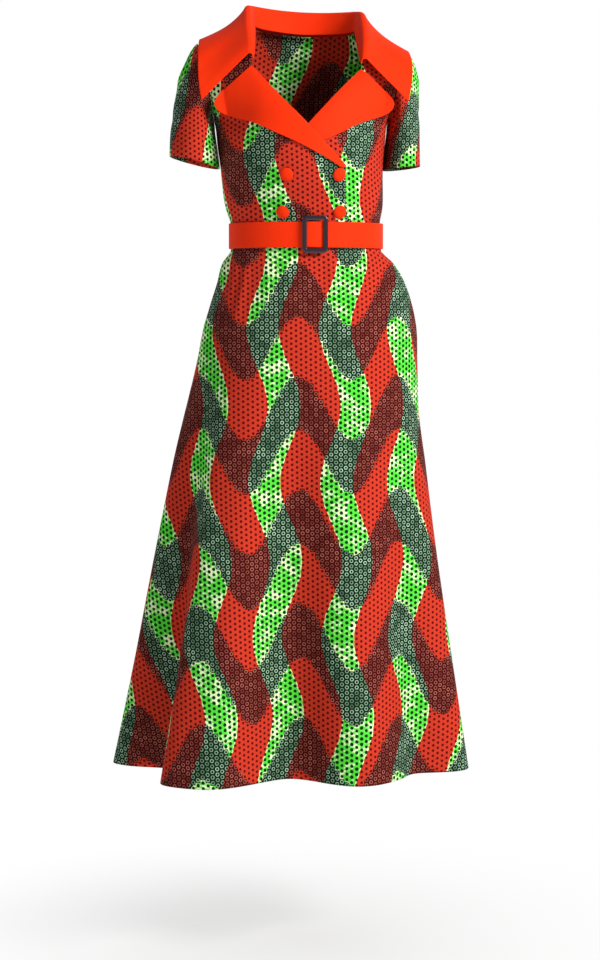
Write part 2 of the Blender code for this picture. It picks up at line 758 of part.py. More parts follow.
def make_belt():
    """The strap, which starts inside the buckle, goes round the waist and ends over its own start."""
    middle = BUCKLE_X / BELT_HALF_WIDTH * 180 / pi
    first = middle - BELT_END_BEARING
    last = middle + 360 + BELT_END_BEARING
    count = 64
    over = STRAP_WALL + BAR_ROOM
    bearings = [first + (last - first) * i / count for i in range(count + 1)]
    rows = []
    for z in (BELT_Z - BELT_WIDTH / 2, BELT_Z + BELT_WIDTH / 2):
        row = []
        for bearing in bearings:
            ramp = rise_between(bearing, last - BELT_END_RISE[0], last - BELT_END_RISE[1])
            point = belt_point(bearing, STRAP_WALL + over * ramp)
            point.z = z
            row.append(point)
        rows.append(row)
    cloth_piece("belt", rows, STRAP_WALL, RED_ORANGE, roughness=0.6)


def rounded_outline(curve, width, height, corner, steps=5):
    """Add a rounded rectangle to a flat curve."""
    points = []
    for quarter in range(4):
        side_x = 1 if quarter in (0, 3) else -1
        side_z = 1 if quarter in (0, 1) else -1
        for i in range(steps + 1):
            angle = radians(90 * quarter + 90 * i / steps)
            points.append((
                side_x * (width / 2 - corner) + corner * cos(angle),
                side_z * (height / 2 - corner) + corner * sin(angle),
            ))
    spline = curve.splines.new("POLY")
    spline.points.add(len(points) - 1)
    for point, (x, z) in zip(spline.points, points):
        point.co = (x, z, 0, 1)
    spline.use_cyclic_u = True


def buckle_frame():
    """The frame, drawn flat and then filled."""
    flat = bpy.data.curves.new("buckle_outline", "CURVE")
    flat.dimensions = "2D"
    flat.fill_mode = "BOTH"
    flat.extrude = BUCKLE_THICKNESS / 2
    rounded_outline(flat, BUCKLE_SIZE[0], BUCKLE_SIZE[1], BUCKLE_CORNER)
    rounded_outline(flat, BUCKLE_WINDOW[0], BUCKLE_WINDOW[1], BUCKLE_WINDOW_CORNER, steps=3)
    drawn = bpy.data.objects.new("buckle_outline", flat)
    COLLECTION.objects.link(drawn)
    bpy.context.view_layer.update()
    mesh = bpy.data.meshes.new_from_object(drawn.evaluated_get(bpy.context.evaluated_depsgraph_get()))
    bpy.data.objects.remove(drawn)
    form = bmesh.new()
    form.from_mesh(mesh)
    bmesh.ops.remove_doubles(form, verts=form.verts, dist=0.00001)
    bmesh.ops.recalc_face_normals(form, faces=form.faces)
    form.to_mesh(mesh)
    form.free()
    buckle = add_mesh_object("buckle", mesh, DARK_PLUM, 0.3)
    bevel = buckle.modifiers.new("Edges", "BEVEL")
    bevel.width = BUCKLE_EDGE
    bevel.segments = 1
    bevel.angle_limit = radians(50)
    return buckle


def join_block(piece, name, size, place, collection):
    """Fuse a block into a piece; the block stays in a collection of joining shapes."""
    bpy.ops.mesh.primitive_cube_add(size=1)
    block = bpy.context.active_object
    block.name = name
    for vertex in block.data.vertices:
        vertex.co = [size[axis] * vertex.co[axis] for axis in range(3)]
    block.location = place
    for owner in list(block.users_collection):
        owner.objects.unlink(block)
    collection.objects.link(block)
    block.hide_render = True
    block.display_type = "WIRE"
    union = piece.modifiers.new("Join", "BOOLEAN")
    union.operation = "UNION"
    union.object = block


def make_buckle():
    """The rigid frame in front of the strap and the bar between the strap's two layers."""
    buckle = buckle_frame()
    strap_front = -(BELT_FRONT_DEPTH + 2 * STRAP_WALL + BAR_ROOM)
    frame_y = strap_front - BUCKLE_REST - BUCKLE_THICKNESS / 2
    bar_y = -(BELT_FRONT_DEPTH + STRAP_WALL + BAR_ROOM / 2)
    buckle.location = (BUCKLE_X, frame_y, BELT_Z)
    buckle.rotation_euler = (pi / 2, 0, 0)
    blocks = bpy.data.collections.new("joining_shapes")
    bpy.context.scene.collection.children.link(blocks)
    foot_size = (BAR_SIZE[0], abs(frame_y - bar_y) + BAR_FOOT_SINK, BAR_FOOT_HEIGHT)
    for end in (-1, 1):
        foot_z = BELT_Z + end * (BAR_SIZE[2] / 2 - BAR_FOOT_INSET)
        join_block(buckle, "bar_foot", foot_size, (BUCKLE_X, (frame_y + bar_y) / 2, foot_z), blocks)
    join_block(buckle, "bar", BAR_SIZE, (BUCKLE_X, bar_y, BELT_Z), blocks)


def make_buttons(right_front):
    """Four covered buttons on the right front, each a turned dome on a short shank."""
    cloth = grid_tree(right_front)
    for level, (half_spacing, z) in BUTTON_PLACES.items():
        for side, sign in (("right", -1), ("left", 1)):
            above = Vector((sign * half_spacing, -1.0, z))
            seat, outwards, _, _ = cloth.ray_cast(above, Vector((0, 1, 0)))
            mesh = bpy.data.meshes.new("button")
            form = bmesh.new()
            points = [form.verts.new((radius, 0, height)) for radius, height in BUTTON_PROFILE]
            for a, b in zip(points, points[1:]):
                form.edges.new((a, b))
            form.to_mesh(mesh)
            form.free()
            button = add_mesh_object("button_%s_%s" % (level, side), mesh, RED_ORANGE, 0.6)
            screw = button.modifiers.new("Turn", "SCREW")
            screw.steps = 16
            screw.render_steps = 16
            screw.use_merge_vertices = True
            screw.merge_threshold = 0.00001
            button.location = seat + outwards * BUTTON_REST
            button.rotation_mode = "QUATERNION"
            button.rotation_quaternion = outwards.to_track_quat("Z", "Y")


clear_objects()
COLLECTION = bpy.data.collections.new("maxi_dress")
bpy.context.scene.collection.children.link(COLLECTION)
left_front, right_front = make_fronts()
make_back()
make_sleeves()
make_skirt()
make_collar()
make_lapels(left_front, right_front)
make_belt()
make_buckle()
make_buttons(right_front)
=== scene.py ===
"""The looks of the maxi dress: printed and plain cotton in fine thin shells on the frame's forms.

Metres, +Z up. The front faces -Y and +X is the wearer's left, as in the frame.
"""
from collections import namedtuple
from functools import partialmethod
from math import asin, cos, pi, radians, sin, sqrt

import bmesh
import bpy
import numpy as np
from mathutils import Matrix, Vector
from mathutils.bvhtree import BVHTree


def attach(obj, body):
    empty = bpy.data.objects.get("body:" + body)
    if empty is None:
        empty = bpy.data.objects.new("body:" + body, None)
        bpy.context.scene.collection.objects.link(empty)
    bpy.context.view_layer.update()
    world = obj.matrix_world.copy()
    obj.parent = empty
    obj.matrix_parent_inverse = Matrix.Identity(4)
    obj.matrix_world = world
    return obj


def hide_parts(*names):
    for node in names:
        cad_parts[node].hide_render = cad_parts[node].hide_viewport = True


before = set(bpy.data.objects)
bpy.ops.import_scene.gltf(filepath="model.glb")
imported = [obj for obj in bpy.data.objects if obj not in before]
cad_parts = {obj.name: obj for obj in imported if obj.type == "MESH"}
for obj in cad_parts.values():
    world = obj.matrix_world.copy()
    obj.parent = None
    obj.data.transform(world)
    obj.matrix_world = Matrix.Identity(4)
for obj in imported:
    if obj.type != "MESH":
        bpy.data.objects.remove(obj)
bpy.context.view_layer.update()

# Cloth
CLOTH_WALL = 0.0011
COLLAR_WALL = 0.0020
STRAP_WALL = 0.0024
SEAM_GAP = 0.0003
SHOULDER_GAP = 0.0009

# Bodice
WAIST_Z = -0.333
NECK_X = 0.085
OVERLAP_X = 0.056
BREAK_FOOT_X = 0.060
BREAK_TOP = (0.088, -0.0665)
BREAK_FOOT_Z = -0.2250
ARMPIT_ROW = 5.0
OVERLAP_LIFT = 0.0027
LAPEL_LIFT = 0.0042
OVERLAP_SPACE_X = (-0.101, -0.066)
LAPEL_SPACE_X = (-0.115, -0.075)
LAPEL_SPACE_Z = (-0.286, -0.256)
LAPEL_SPACE_TOP_Z = (-0.150, -0.115)

# Skirt
SKIRT_TOP_Z = WAIST_Z - SEAM_GAP
HEM_Z = -1.193
FOLD_OPENING = 1.15

# Belt and its buckle
BELT_WIDTH = 0.041
BELT_Z = -0.3335
BELT_HALF_WIDTH = 0.1236
BELT_FRONT_DEPTH = 0.1004
BELT_BACK_DEPTH = 0.0908
BELT_END_BEARING = 7.0
BELT_END_RISE = (26, 8)
BAR_ROOM = 0.0030
BUCKLE_X = 0.005
BUCKLE_SIZE = (0.0415, 0.0595)
BUCKLE_WINDOW = (0.0265, 0.0450)
BUCKLE_THICKNESS = 0.003
BUCKLE_REST = 0.0004
BUCKLE_CORNER = 0.0042
BUCKLE_ROUNDING = {"across": 0.55, "depth": 0.7}
BAR_SIZE = (0.005, 0.002, 0.055)
BAR_FOOT_Z = 0.025
BAR_FOOT_HEIGHT = 0.004
BAR_FOOT_SINKS = 0.0005

# Buttons, and the outline of one from the middle of its dome to the end of its shank
BUTTON_RADIUS = 0.011
BUTTON_PLACES = {"upper": (0.0415, -0.2395), "lower": (0.0450, -0.2975)}
BUTTON_REST = 0.0004
BUTTON_TUCKS = 18
BUTTON_TUCK_UNEVENNESS = 5
BUTTON_TUCK_DEPTH = 0.00016
BUTTON_TUCKS_FROM = 0.55
OutlineRing = namedtuple("OutlineRing", "radius height")
BUTTON_OUTLINE = [
    OutlineRing(0.0000, 0.00680),
    OutlineRing(0.0020, 0.00675),
    OutlineRing(0.0042, 0.00650),
    OutlineRing(0.0062, 0.00590),
    OutlineRing(0.0080, 0.00500),
    OutlineRing(0.0094, 0.00400),
    OutlineRing(0.0104, 0.00300),
    OutlineRing(0.0110, 0.00220),
    OutlineRing(0.0109, 0.00150),
    OutlineRing(0.0098, 0.00120),
    OutlineRing(0.0062, 0.00100),
    OutlineRing(0.0042, 0.00070),
    OutlineRing(0.0040, 0.00000),
    OutlineRing(0.0000, 0.00000),
]

# Camera, floor and light
CAMERA_BEARING = -5.0
CAMERA_DISTANCE = 3.8
CAMERA_Z = -0.45
AIM = (-0.0098, 0.0, -0.7319)
LENS_MM = 86.9
FLOOR_Z = -1.50
FLOOR_REACH = 12.0
# Distances from the middle over which the floor's painted white glow rises to full; under the dress it is
# already a third
FLOOR_PAINTED_GLOW_SPAN = (-0.5, 0.8)
SURROUND_SEEN = 1.0
SURROUND_LIGHT = 0.24
Lamp = namedtuple("Lamp", "name place aim size power")
LAMPS = [
    Lamp("key", (2.45, -2.7, 1.35), (0, 0, -0.5), 1.3, 186),
    Lamp("fill", (-2.4, -2.8, 0.2), (0, 0, -0.6), 1.6, 3),
    Lamp("back_left", (-2.0, 2.6, 1.2), (0, 0, -0.5), 1.4, 14),
    Lamp("back_right", (2.2, 2.4, 0.8), (0, 0, -0.6), 1.4, 20),
]

# Cross rows of the worn bodice, waist first. The middle of a row lies at the centre front or back, its
# side at the side seam, the armhole or the shoulder tip, and turn is how far round it has bent by there.
Row = namedtuple("Row", "mid_z mid_y side_x side_y side_z turn")
FRONT_ROWS = [
    Row(-0.3330, -0.0950, 0.1215, 0.000, -0.3330, 90),
    Row(-0.3120, -0.0962, 0.1218, 0.000, -0.3120, 90),
    Row(-0.2800, -0.1070, 0.1290, 0.000, -0.2800, 90),
    Row(-0.2250, -0.1270, 0.1320, 0.000, -0.2250, 90),
    Row(-0.1850, -0.1310, 0.1358, 0.000, -0.1900, 90),
    Row(-0.1500, -0.1240, 0.1390, 0.000, -0.1580, 88),
    Row(-0.1050, -0.1060, 0.1470, -0.038, -0.1180, 66),
    Row(-0.0550, -0.0780, 0.1510, -0.044, -0.0780, 56),
    Row(-0.0080, -0.0420, 0.1610, -0.025, -0.0470, 45),
    Row(0.0095, -0.0040, 0.1690, 0.001, -0.0325, 40),
    Row(0.0110, 0.0050, 0.1700, 0.006, -0.0320, 40),
]
BACK_MIDDLES_Y = [0.0870, 0.0876, 0.0930, 0.1000, 0.1040, 0.1060]
BACK_ROWS = [row._replace(mid_y=y) for row, y in zip(FRONT_ROWS, BACK_MIDDLES_Y)] + [
    Row(-0.1050, 0.1050, 0.1480, 0.040, -0.1180, 66),
    Row(-0.0600, 0.0970, 0.1530, 0.046, -0.0780, 56),
    Row(-0.0300, 0.0830, 0.1620, 0.034, -0.0470, 48),
]
BACK_NECK_DEPTH = 0.056
BACK_NECK_DROP = 0.006
BACK_NECK_SHARE = 0.5
SHOULDER_ROUNDING = 0.006
BACK_SHOULDER_BULGE = Vector((0, 0.4, 0.9)) * SHOULDER_ROUNDING * 4

# Inner edge of a front: x at each height, from the waist up the overlap, the break line and the neck
EdgePoint = namedtuple("EdgePoint", "z x")
FRONT_EDGE = [
    EdgePoint(WAIST_Z, -OVERLAP_X),
    EdgePoint(BREAK_FOOT_Z, -BREAK_FOOT_X),
    EdgePoint(BREAK_TOP[1], BREAK_TOP[0]),
    EdgePoint(0.010, NECK_X),
]

# The pose: how far the bodice leans sideways at each height, and how its shoulders tilt
Lean = namedtuple("Lean", "z x")
LEAN = [
    Lean(-0.330, 0.0),
    Lean(-0.225, -0.007),
    Lean(-0.120, -0.008),
    Lean(-0.020, -0.003),
    Lean(0.060, -0.001),
]
SHOULDER_TILT = 0.045
TILT_Z = (-0.120, -0.030)

# Sleeves: hem oval
SleeveHem = namedtuple("SleeveHem", "x half_width half_depth z slope")
SLEEVE_HEMS = {
    "right": SleeveHem(0.1738, 0.0402, 0.056, -0.2150, 0.010),
    "left": SleeveHem(0.1635, 0.0300, 0.056, -0.2230, 0.003),
}

# How a sleeve leaves the armhole and arrives at its hem, as the slopes of the curve between
SLEEVE_HEAD_GAP = 0.0022
SLEEVE_FORWARD = 0.35
UNDERARM_LEAVES = Vector((0.001, 0, -0.030))
SHOULDER_LEAVES = Vector((0.081, 0, -0.075))
UNDERARM_ARRIVES = Vector((0.002, 0, -0.05))
SHOULDER_ARRIVES = Vector((0.002, 0, -0.17))
SLEEVE_HEAD_BULGE = Vector((0, 0.3, 0.8)) * SHOULDER_ROUNDING
SLEEVE_RINGS_SKEW = 1.25

# Skirt: reach to each side and to the front and back at each height
Girth = namedtuple("Girth", "z right left front back")
SKIRT_GIRTHS = [
    Girth(-0.333, 0.1215, 0.1215, 0.0958, 0.0870),
    Girth(-0.346, 0.1218, 0.1218, 0.0962, 0.0874),
    Girth(-0.357, 0.1222, 0.1222, 0.0968, 0.0880),
    Girth(-0.378, 0.1370, 0.1435, 0.1060, 0.1010),
    Girth(-0.412, 0.1450, 0.1620, 0.1150, 0.1130),
    Girth(-0.476, 0.1660, 0.1805, 0.1270, 0.1310),
    Girth(-0.540, 0.1790, 0.1830, 0.1350, 0.1430),
    Girth(-0.623, 0.1990, 0.1860, 0.1440, 0.1560),
    Girth(-0.702, 0.2160, 0.1965, 0.1540, 0.1690),
    Girth(-0.864, 0.2440, 0.2180, 0.1760, 0.1960),
    Girth(-1.027, 0.2700, 0.2380, 0.1980, 0.2200),
    Girth(-1.200, 0.3000, 0.2580, 0.2220, 0.2440),
]

# Skirt folds: bearing round from the centre front towards +X, rise outwards at the hem, how far the fold
# spreads on its two sides, and the height where it starts
Fold = namedtuple("Fold", "bearing rise spread_before spread_after top")
SKIRT_FOLDS = [
    Fold(-106, -0.024, 12, 10, -0.62),
    Fold(-86, 0.022, 12, 12, -0.60),
    Fold(-63, -0.046, 12, 9, -0.50),
    Fold(-42, 0.054, 8, 10, -0.46),
    Fold(-28, 0.056, 10, 9, -0.46),
    Fold(-9, -0.044, 11, 12, -0.50),
    Fold(14, 0.032, 11, 14, -0.52),
    Fold(42, -0.019, 9, 9, -0.56),
    Fold(60, 0.030, 11, 12, -0.58),
    Fold(90, -0.014, 10, 12, -0.70),
    Fold(112, 0.026, 12, 12, -0.58),
    Fold(133, -0.028, 11, 11, -0.52),
    Fold(156, 0.028, 12, 13, -0.50),
    Fold(180, -0.026, 12, 12, -0.54),
    Fold(206, 0.030, 13, 12, -0.48),
    Fold(231, -0.026, 12, 10, -0.55),
]

# Collar stations from the centre back to the front end: the neck seam, the roll line and the outer edge
Station = namedtuple("Station", "seam roll edge sag")
COLLAR_STATIONS = [
    Station((0.0000, 0.0580, -0.0020), (0.0000, 0.0620, 0.0300), (0.0000, 0.1180, -0.0700), 0.004),
    Station((0.0330, 0.0520, -0.0010), (0.0360, 0.0570, 0.0305), (0.0620, 0.1170, -0.0680), 0.004),
    Station((0.0620, 0.0350, 0.0000), (0.0660, 0.0400, 0.0310), (0.1200, 0.1030, -0.0600), 0.006),
    Station((0.0780, 0.0180, 0.0010), (0.0830, 0.0210, 0.0305), (0.1580, 0.0640, -0.0420), 0.008),
    Station((0.0815, 0.0020, 0.0010), (0.0890, 0.0020, 0.0265), (0.1685, 0.0080, -0.0260), 0.009),
    Station((0.0820, -0.0150, -0.0070), (0.0900, -0.0200, 0.0105), (0.1720, -0.0420, -0.0500), 0.007),
    Station((0.0830, -0.0395, -0.0265), (0.0900, -0.0455, -0.0130), (0.1710, -0.0665, -0.0830), 0.003),
    Station((0.0850, -0.0675, -0.0480), (0.0885, -0.0725, -0.0380), (0.1680, -0.0765, -0.1060), 0.000),
    Station((0.0870, -0.0800, -0.0595), (0.0880, -0.0830, -0.0555), (0.1650, -0.0805, -0.1215), 0.000),
]
ROLL_RADIUS = 0.0040
ROLL_START = 170
ROLL_TURN = 130
STAND_SHARE = 0.9
SAG_SKEW = 0.7

# Lapel outline from its top corner down to its foot, in the front view
OutlinePoint = namedtuple("OutlinePoint", "x z")
LAPEL_OUTLINE = [
    OutlinePoint(0.1310, -0.1060),
    OutlinePoint(0.1400, -0.1150),
    OutlinePoint(0.1440, -0.1260),
    OutlinePoint(0.1360, -0.1380),
    OutlinePoint(0.1150, -0.1475),
    OutlinePoint(0.0860, -0.1575),
    OutlinePoint(0.0520, -0.1745),
    OutlinePoint(0.0180, -0.1900),
    OutlinePoint(-0.0180, -0.2085),
    OutlinePoint(-0.0540, -0.2285),
]
LAPEL_ROLL = 0.0035
LAPEL_ROLL_SKEW = 0.6
LAPEL_OPENS_X = (-0.01, 0.05)
LAPEL_ROWS_SKEW = 1.1
LAPEL_REST = 0.0015
LAPEL_EDGE_LIFT = 0.0032
LAPEL_EDGE_LIFT_CLOSED = 0.4
LAPEL_FOLD = Vector((-0.0013, 0.0012))
LAPEL_FOLD_DEPTH = 0.0012
LAPEL_FOOT_IN = Vector((0.0010, -0.002))
LAPEL_HEAD_IN = Vector((0.0006, -0.002))
LAPEL_SEAT = 0.0006
CHEST_TURN_X = 0.112
SLEEVE_HEAD_Y = 0.062


# The forms, as the frame's solids have them
def hermite(a, b, slope_a, slope_b, s):
    """A cubic from a to b with the given slopes over a unit step."""
    return (
        a * (2 * s**3 - 3 * s**2 + 1)
        + slope_a * (s**3 - 2 * s**2 + s)
        + b * (3 * s**2 - 2 * s**3)
        + slope_b * (s**3 - s**2)
    )


def smooth_step(value):
    """0 below 0, 1 above 1 and an even rise between."""
    s = min(1.0, max(0.0, value))
    return s * s * (3 - 2 * s)


def rise_between(value, low, high):
    """0 up to low, 1 from high on and an even rise between."""
    return smooth_step((value - low) / (high - low))


def smooth_read(rows, key, column, value):
    """Read a column of a table at a value of its key, on a smooth curve through the rows."""
    keys = [getattr(row, key) for row in rows]
    step = 1 if keys[-1] > keys[0] else -1
    last = len(rows) - 1
    i = 0
    while i < last - 1 and (value - keys[i + 1]) * step > 0:
        i += 1
    heights = [getattr(row, column) for row in rows]

    def slope(j):
        before, after = max(0, j - 1), min(last, j + 1)
        return (heights[after] - heights[before]) / (keys[after] - keys[before])

    width = keys[i + 1] - keys[i]
    s = min(1.0, max(0.0, (value - keys[i]) / width))
    return hermite(heights[i], heights[i + 1], slope(i) * width, slope(i + 1) * width, s)


def straight_read(rows, key, column, value):
    """Read a column of a table at a value of its key, on straight lines between the rows."""
    for low, high in zip(rows, rows[1:]):
        k0, k1 = getattr(low, key), getattr(high, key)
        if value <= k1 or high is rows[-1]:
            s = min(1.0, max(0.0, (value - k0) / (k1 - k0)))
            return getattr(low, column) * (1 - s) + getattr(high, column) * s
    return getattr(rows[-1], column)


def smooth_row(rows, place):
    """The row at a fractional place in a table, on smooth curves through its rows."""
    last = len(rows) - 1
    i = min(last - 1, max(0, int(place)))
    s = place - i
    columns = []
    for j in range(len(rows[0])):
        a, b = rows[i][j], rows[i + 1][j]
        before = rows[i - 1][j] if i > 0 else a
        after = rows[i + 2][j] if i + 2 <= last else b
        slope_a = (b - before) / (2 if i > 0 else 1)
        slope_b = (after - a) / (2 if i + 2 <= last else 1)
        columns.append(hermite(a, b, slope_a, slope_b, s))
    return type(rows[0])(*columns)


def bodice_row(rows, place):
    """A row of the bodice at a fractional place. Up to the armpit its side is the straight side seam."""
    row = smooth_row(rows, place)
    return row._replace(side_y=0.0) if place < ARMPIT_ROW else row


def row_point(row, share):
    """A point of a bodice row: share 0 is its middle, 1 its left side and -1 its right side."""
    turn = radians(row.turn)
    angle = share * turn
    bulge = (cos(angle) - cos(turn)) / (1 - cos(turn))
    return Vector((
        row.side_x * sin(angle) / sin(turn),
        row.side_y + (row.mid_y - row.side_y) * bulge,
        row.side_z + (row.mid_z - row.side_z) * bulge,
    ))


def halve(low, high, is_high, steps=30):
    """The value between low and high where is_high turns true."""
    for _ in range(steps):
        middle = (low + high) / 2
        if is_high(middle):
            high = middle
        else:
            low = middle
    return (low + high) / 2


def edge_share(row):
    """Where a row of the left front meets its inner edge."""
    def past_edge(share):
        point = row_point(row, share)
        return point.x > straight_read(FRONT_EDGE, "z", "x", point.z)

    return halve(-0.9, 1.0, past_edge)


def place_with_edge_at(z):
    """The place in FRONT_ROWS whose row meets the inner edge at a height."""
    def above(place):
        row = bodice_row(FRONT_ROWS, place)
        return row_point(row, edge_share(row)).z > z

    return halve(0.0, len(FRONT_ROWS) - 1.0, above)


def front_y(x, z):
    """Depth of the worn front at a point of the front view."""
    def point_at(place):
        row = bodice_row(FRONT_ROWS, place)
        turn = radians(row.turn)
        angle = asin(min(1.0, abs(x) * sin(turn) / row.side_x))
        return row_point(row, angle / turn)

    place = halve(0.0, len(FRONT_ROWS) - 1.0, lambda value: point_at(value).z > z, 20)
    return point_at(place).y


def chest_y(x, z):
    """Depth of the front as a stiff layer lies on it: past the chest it goes on straight, over the sleeve."""
    side = abs(x)
    if side <= CHEST_TURN_X:
        return front_y(side, z)
    near = front_y(CHEST_TURN_X, z)
    slope = (near - front_y(CHEST_TURN_X - 0.01, z)) / 0.01
    return min(near + slope * (side - CHEST_TURN_X), -SLEEVE_HEAD_Y)


def off_chest(x, z, lift):
    """A point straight in front of the chest that is a given height off its slanted face."""
    step = 0.004
    here = chest_y(x, z)
    across = (chest_y(x + step, z) - here) / step
    upwards = (chest_y(x, z + step) - here) / step
    return Vector((x, here - lift * sqrt(1 + across**2 + upwards**2), z))


def posed(point):
    """The point moved into the wearer's stance, which leans a little and has one shoulder higher."""
    x, y, z = point
    tilt = SHOULDER_TILT * rise_between(z, *TILT_Z)
    return Vector((x + smooth_read(LEAN, "z", "x", z), y, z - tilt * x))


def under_lapel(x, z):
    """How much the left lapel fills the space between the two fronts, from 0 to 1."""
    below_neck = rise_between(z, *LAPEL_SPACE_Z) * (1 - rise_between(z, *LAPEL_SPACE_TOP_Z))
    return below_neck * rise_between(x, *LAPEL_SPACE_X)


def right_front_lift(point):
    """How far the right front stands off the left one, over the overlap and the hidden lapel."""
    x, _, z = point
    overlap = rise_between(x, *OVERLAP_SPACE_X)
    return OVERLAP_LIFT * overlap + LAPEL_LIFT * under_lapel(x, z)


# Meshes
def as_array(grid):
    """A grid of points as rows by columns by three numbers."""
    return np.array([[tuple(point) for point in row] for row in grid])


def grid_normals(points, closed=False):
    """The outward direction at each point of a grid whose rows run up and columns towards its left."""
    if closed:
        across = np.roll(points, -1, axis=1) - np.roll(points, 1, axis=1)
    else:
        across = np.gradient(points, axis=1)
    upwards = np.gradient(points, axis=0)
    normals = np.cross(across, upwards)
    return normals / np.maximum(np.linalg.norm(normals, axis=2, keepdims=True), 1e-12)


def arc_across(points):
    """Distance along each row from its first point."""
    steps = np.linalg.norm(np.diff(points, axis=1), axis=2)
    return np.concatenate([np.zeros((len(points), 1)), np.cumsum(steps, axis=1)], axis=1)


def arc_from_middle(points):
    """Distance along each row from its middle point."""
    arcs = arc_across(points)
    middle = points.shape[1] // 2
    return arcs - arcs[:, middle:middle + 1]


def mirrored(grid):
    """A grid of points or of flat places for the other side of the body."""
    grid = grid[:, ::-1].copy()
    grid[:, :, 0] *= -1
    return grid


def lift_right_front(points):
    """Move a grid of the right side out over the left front and its lapel, in place."""
    for row in points:
        for point in row:
            point[1] -= right_front_lift(point)


def grid_faces(rows, columns, closed=False):
    """The four-cornered faces between a grid's points."""
    faces = []
    for i in range(rows - 1):
        for j in range(columns if closed else columns - 1):
            k = (j + 1) % columns
            faces.append((i * columns + j, i * columns + k, (i + 1) * columns + k, (i + 1) * columns + j))
    return faces


def new_object(name, data):
    """An object in the scene."""
    made = bpy.data.objects.new(name, data)
    bpy.context.scene.collection.objects.link(made)
    return made


def new_mesh(name, points, faces):
    """A mesh of points and faces."""
    mesh = bpy.data.meshes.new(name)
    mesh.from_pydata(points, [], faces)
    return mesh


def mesh_of_form(name, form):
    """A smooth mesh of a form, which is freed, with its faces turned outwards."""
    bmesh.ops.recalc_face_normals(form, faces=form.faces)
    mesh = bpy.data.meshes.new(name)
    form.to_mesh(mesh)
    form.free()
    mesh.shade_smooth()
    return mesh


def add_piece(name, mesh, look, replaced):
    """Put a mesh in the scene as a piece of the root body that stands for its node."""
    piece = new_object(name, mesh)
    piece.data.materials.append(look)
    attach(piece, "root")
    if replaced:
        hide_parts(replaced)
    return piece


def cloth_piece(name, points, pattern, wall, look, replaced, closed=False, rounded=0.0):
    """A wall of cloth on a grid of outer points with a flat place in the cut for each."""
    rows, columns = points.shape[:2]
    mesh = new_mesh(name, points.reshape(-1, 3).tolist(), grid_faces(rows, columns, closed))
    flat = mesh.uv_layers.new(name="cut")
    places = []
    for i in range(rows - 1):
        for j in range(columns if closed else columns - 1):
            for a, b in ((i, j), (i, j + 1), (i + 1, j + 1), (i + 1, j)):
                places.append(pattern[a, b])
    flat.data.foreach_set("uv", np.array(places).ravel())
    mesh.shade_smooth()
    piece = add_piece(name, mesh, look, replaced)
    solidify = piece.modifiers.new("Wall", "SOLIDIFY")
    solidify.thickness = wall
    solidify.offset = -1.0
    solidify.use_even_offset = True
    solidify.use_quality_normals = True
    if rounded:
        bevel = piece.modifiers.new("Edges", "BEVEL")
        bevel.width = rounded
        bevel.segments = 2
        bevel.angle_limit = radians(50)
    return piece


def print_piece(name, points, flat, replaced, closed=False):
    """A wall of the printed cotton."""
    return cloth_piece(name, points, flat, CLOTH_WALL, PRINT, replaced, closed=closed)


def plain_piece(name, points, flat, wall, replaced, rounded=0.0007):
    """A wall of the plain cotton, with softly rounded edges."""
    return cloth_piece(name, points, flat, wall, PLAIN, replaced, rounded=rounded)


# Stitches and turned-up hems
STITCH_PITCH = 0.0028
STITCH_LENGTH = 0.0022
STITCH_RADIUS = 0.00022
TURN_UP_WALL = 0.0007
TURN_UP_GAP = 0.0003
SKIRT_HEM_ROWS = 4
SLEEVE_HEM_ROWS = 6


def add_stitches(name, path, normals, look):
    """A row of short stitches along a line of points on the cloth, each a small spindle."""
    along = np.concatenate([[0.0], np.cumsum(np.linalg.norm(np.diff(path, axis=0), axis=1))])
    starts = np.arange(0, along[-1] - STITCH_PITCH, STITCH_PITCH)

    def at(distance, values):
        return np.stack([np.interp(distance, along, values[:, axis]) for axis in range(3)], axis=1)

    first, last = at(starts, path), at(starts + STITCH_LENGTH, path)
    middle = (first + last) / 2
    up = at(starts + STITCH_LENGTH / 2, normals)
    side = np.cross(last - first, up)
    side = side / np.linalg.norm(side, axis=1, keepdims=True) * STITCH_RADIUS
    up = up * STITCH_RADIUS
    corners = np.stack([first, last, middle + up, middle + side, middle - up, middle - side], axis=1)
    faces = []
    for stitch in range(len(starts)):
        base = stitch * 6
        for a, b in ((2, 3), (3, 4), (4, 5), (5, 2)):
            faces.append((base, base + a, base + b))
            faces.append((base + 1, base + b, base + a))
    add_piece(name, new_mesh(name, corners.reshape(-1, 3).tolist(), faces), look, None)


def finish_hem(name, points, normals, flat, rows, closed=False):
    """The hem turned up inside, and the stitches that hold it."""
    depth = np.full((rows + 1, 1, 1), CLOTH_WALL + TURN_UP_GAP)
    depth[0] = CLOTH_WALL
    inside = points[:rows + 1] - normals[:rows + 1] * depth
    cloth_piece(name + "_turn_up", inside, flat[:rows + 1], TURN_UP_WALL, PRINT, None,
                closed=closed)
    line, outwards = points[rows], normals[rows]
    if closed:
        line = np.concatenate([line, line[:1]])
        outwards = np.concatenate([outwards, outwards[:1]])
    add_stitches(name + "_stitches", line, outwards, THREAD)


# Creases: soft troughs and ridges along straight lines in a piece's own flat coordinates
Crease = namedtuple("Crease", "u0 v0 u1 v1 width rise")


def crease_rise(creases, u, v):
    """The height that the creases add at each flat place."""
    total = np.zeros_like(u)
    for c in creases:
        along = np.array([c.u1 - c.u0, c.v1 - c.v0])
        length = np.hypot(*along)
        along = along / length
        t = ((u - c.u0) * along[0] + (v - c.v0) * along[1]) / length
        off = (u - c.u0) * -along[1] + (v - c.v0) * along[0]
        taper = np.clip(1 - np.abs(2 * t - 1), 0, 1)
        taper = taper * taper * (3 - 2 * taper)
        total += c.rise * taper * np.exp(-((off / c.width) ** 2))
    return total


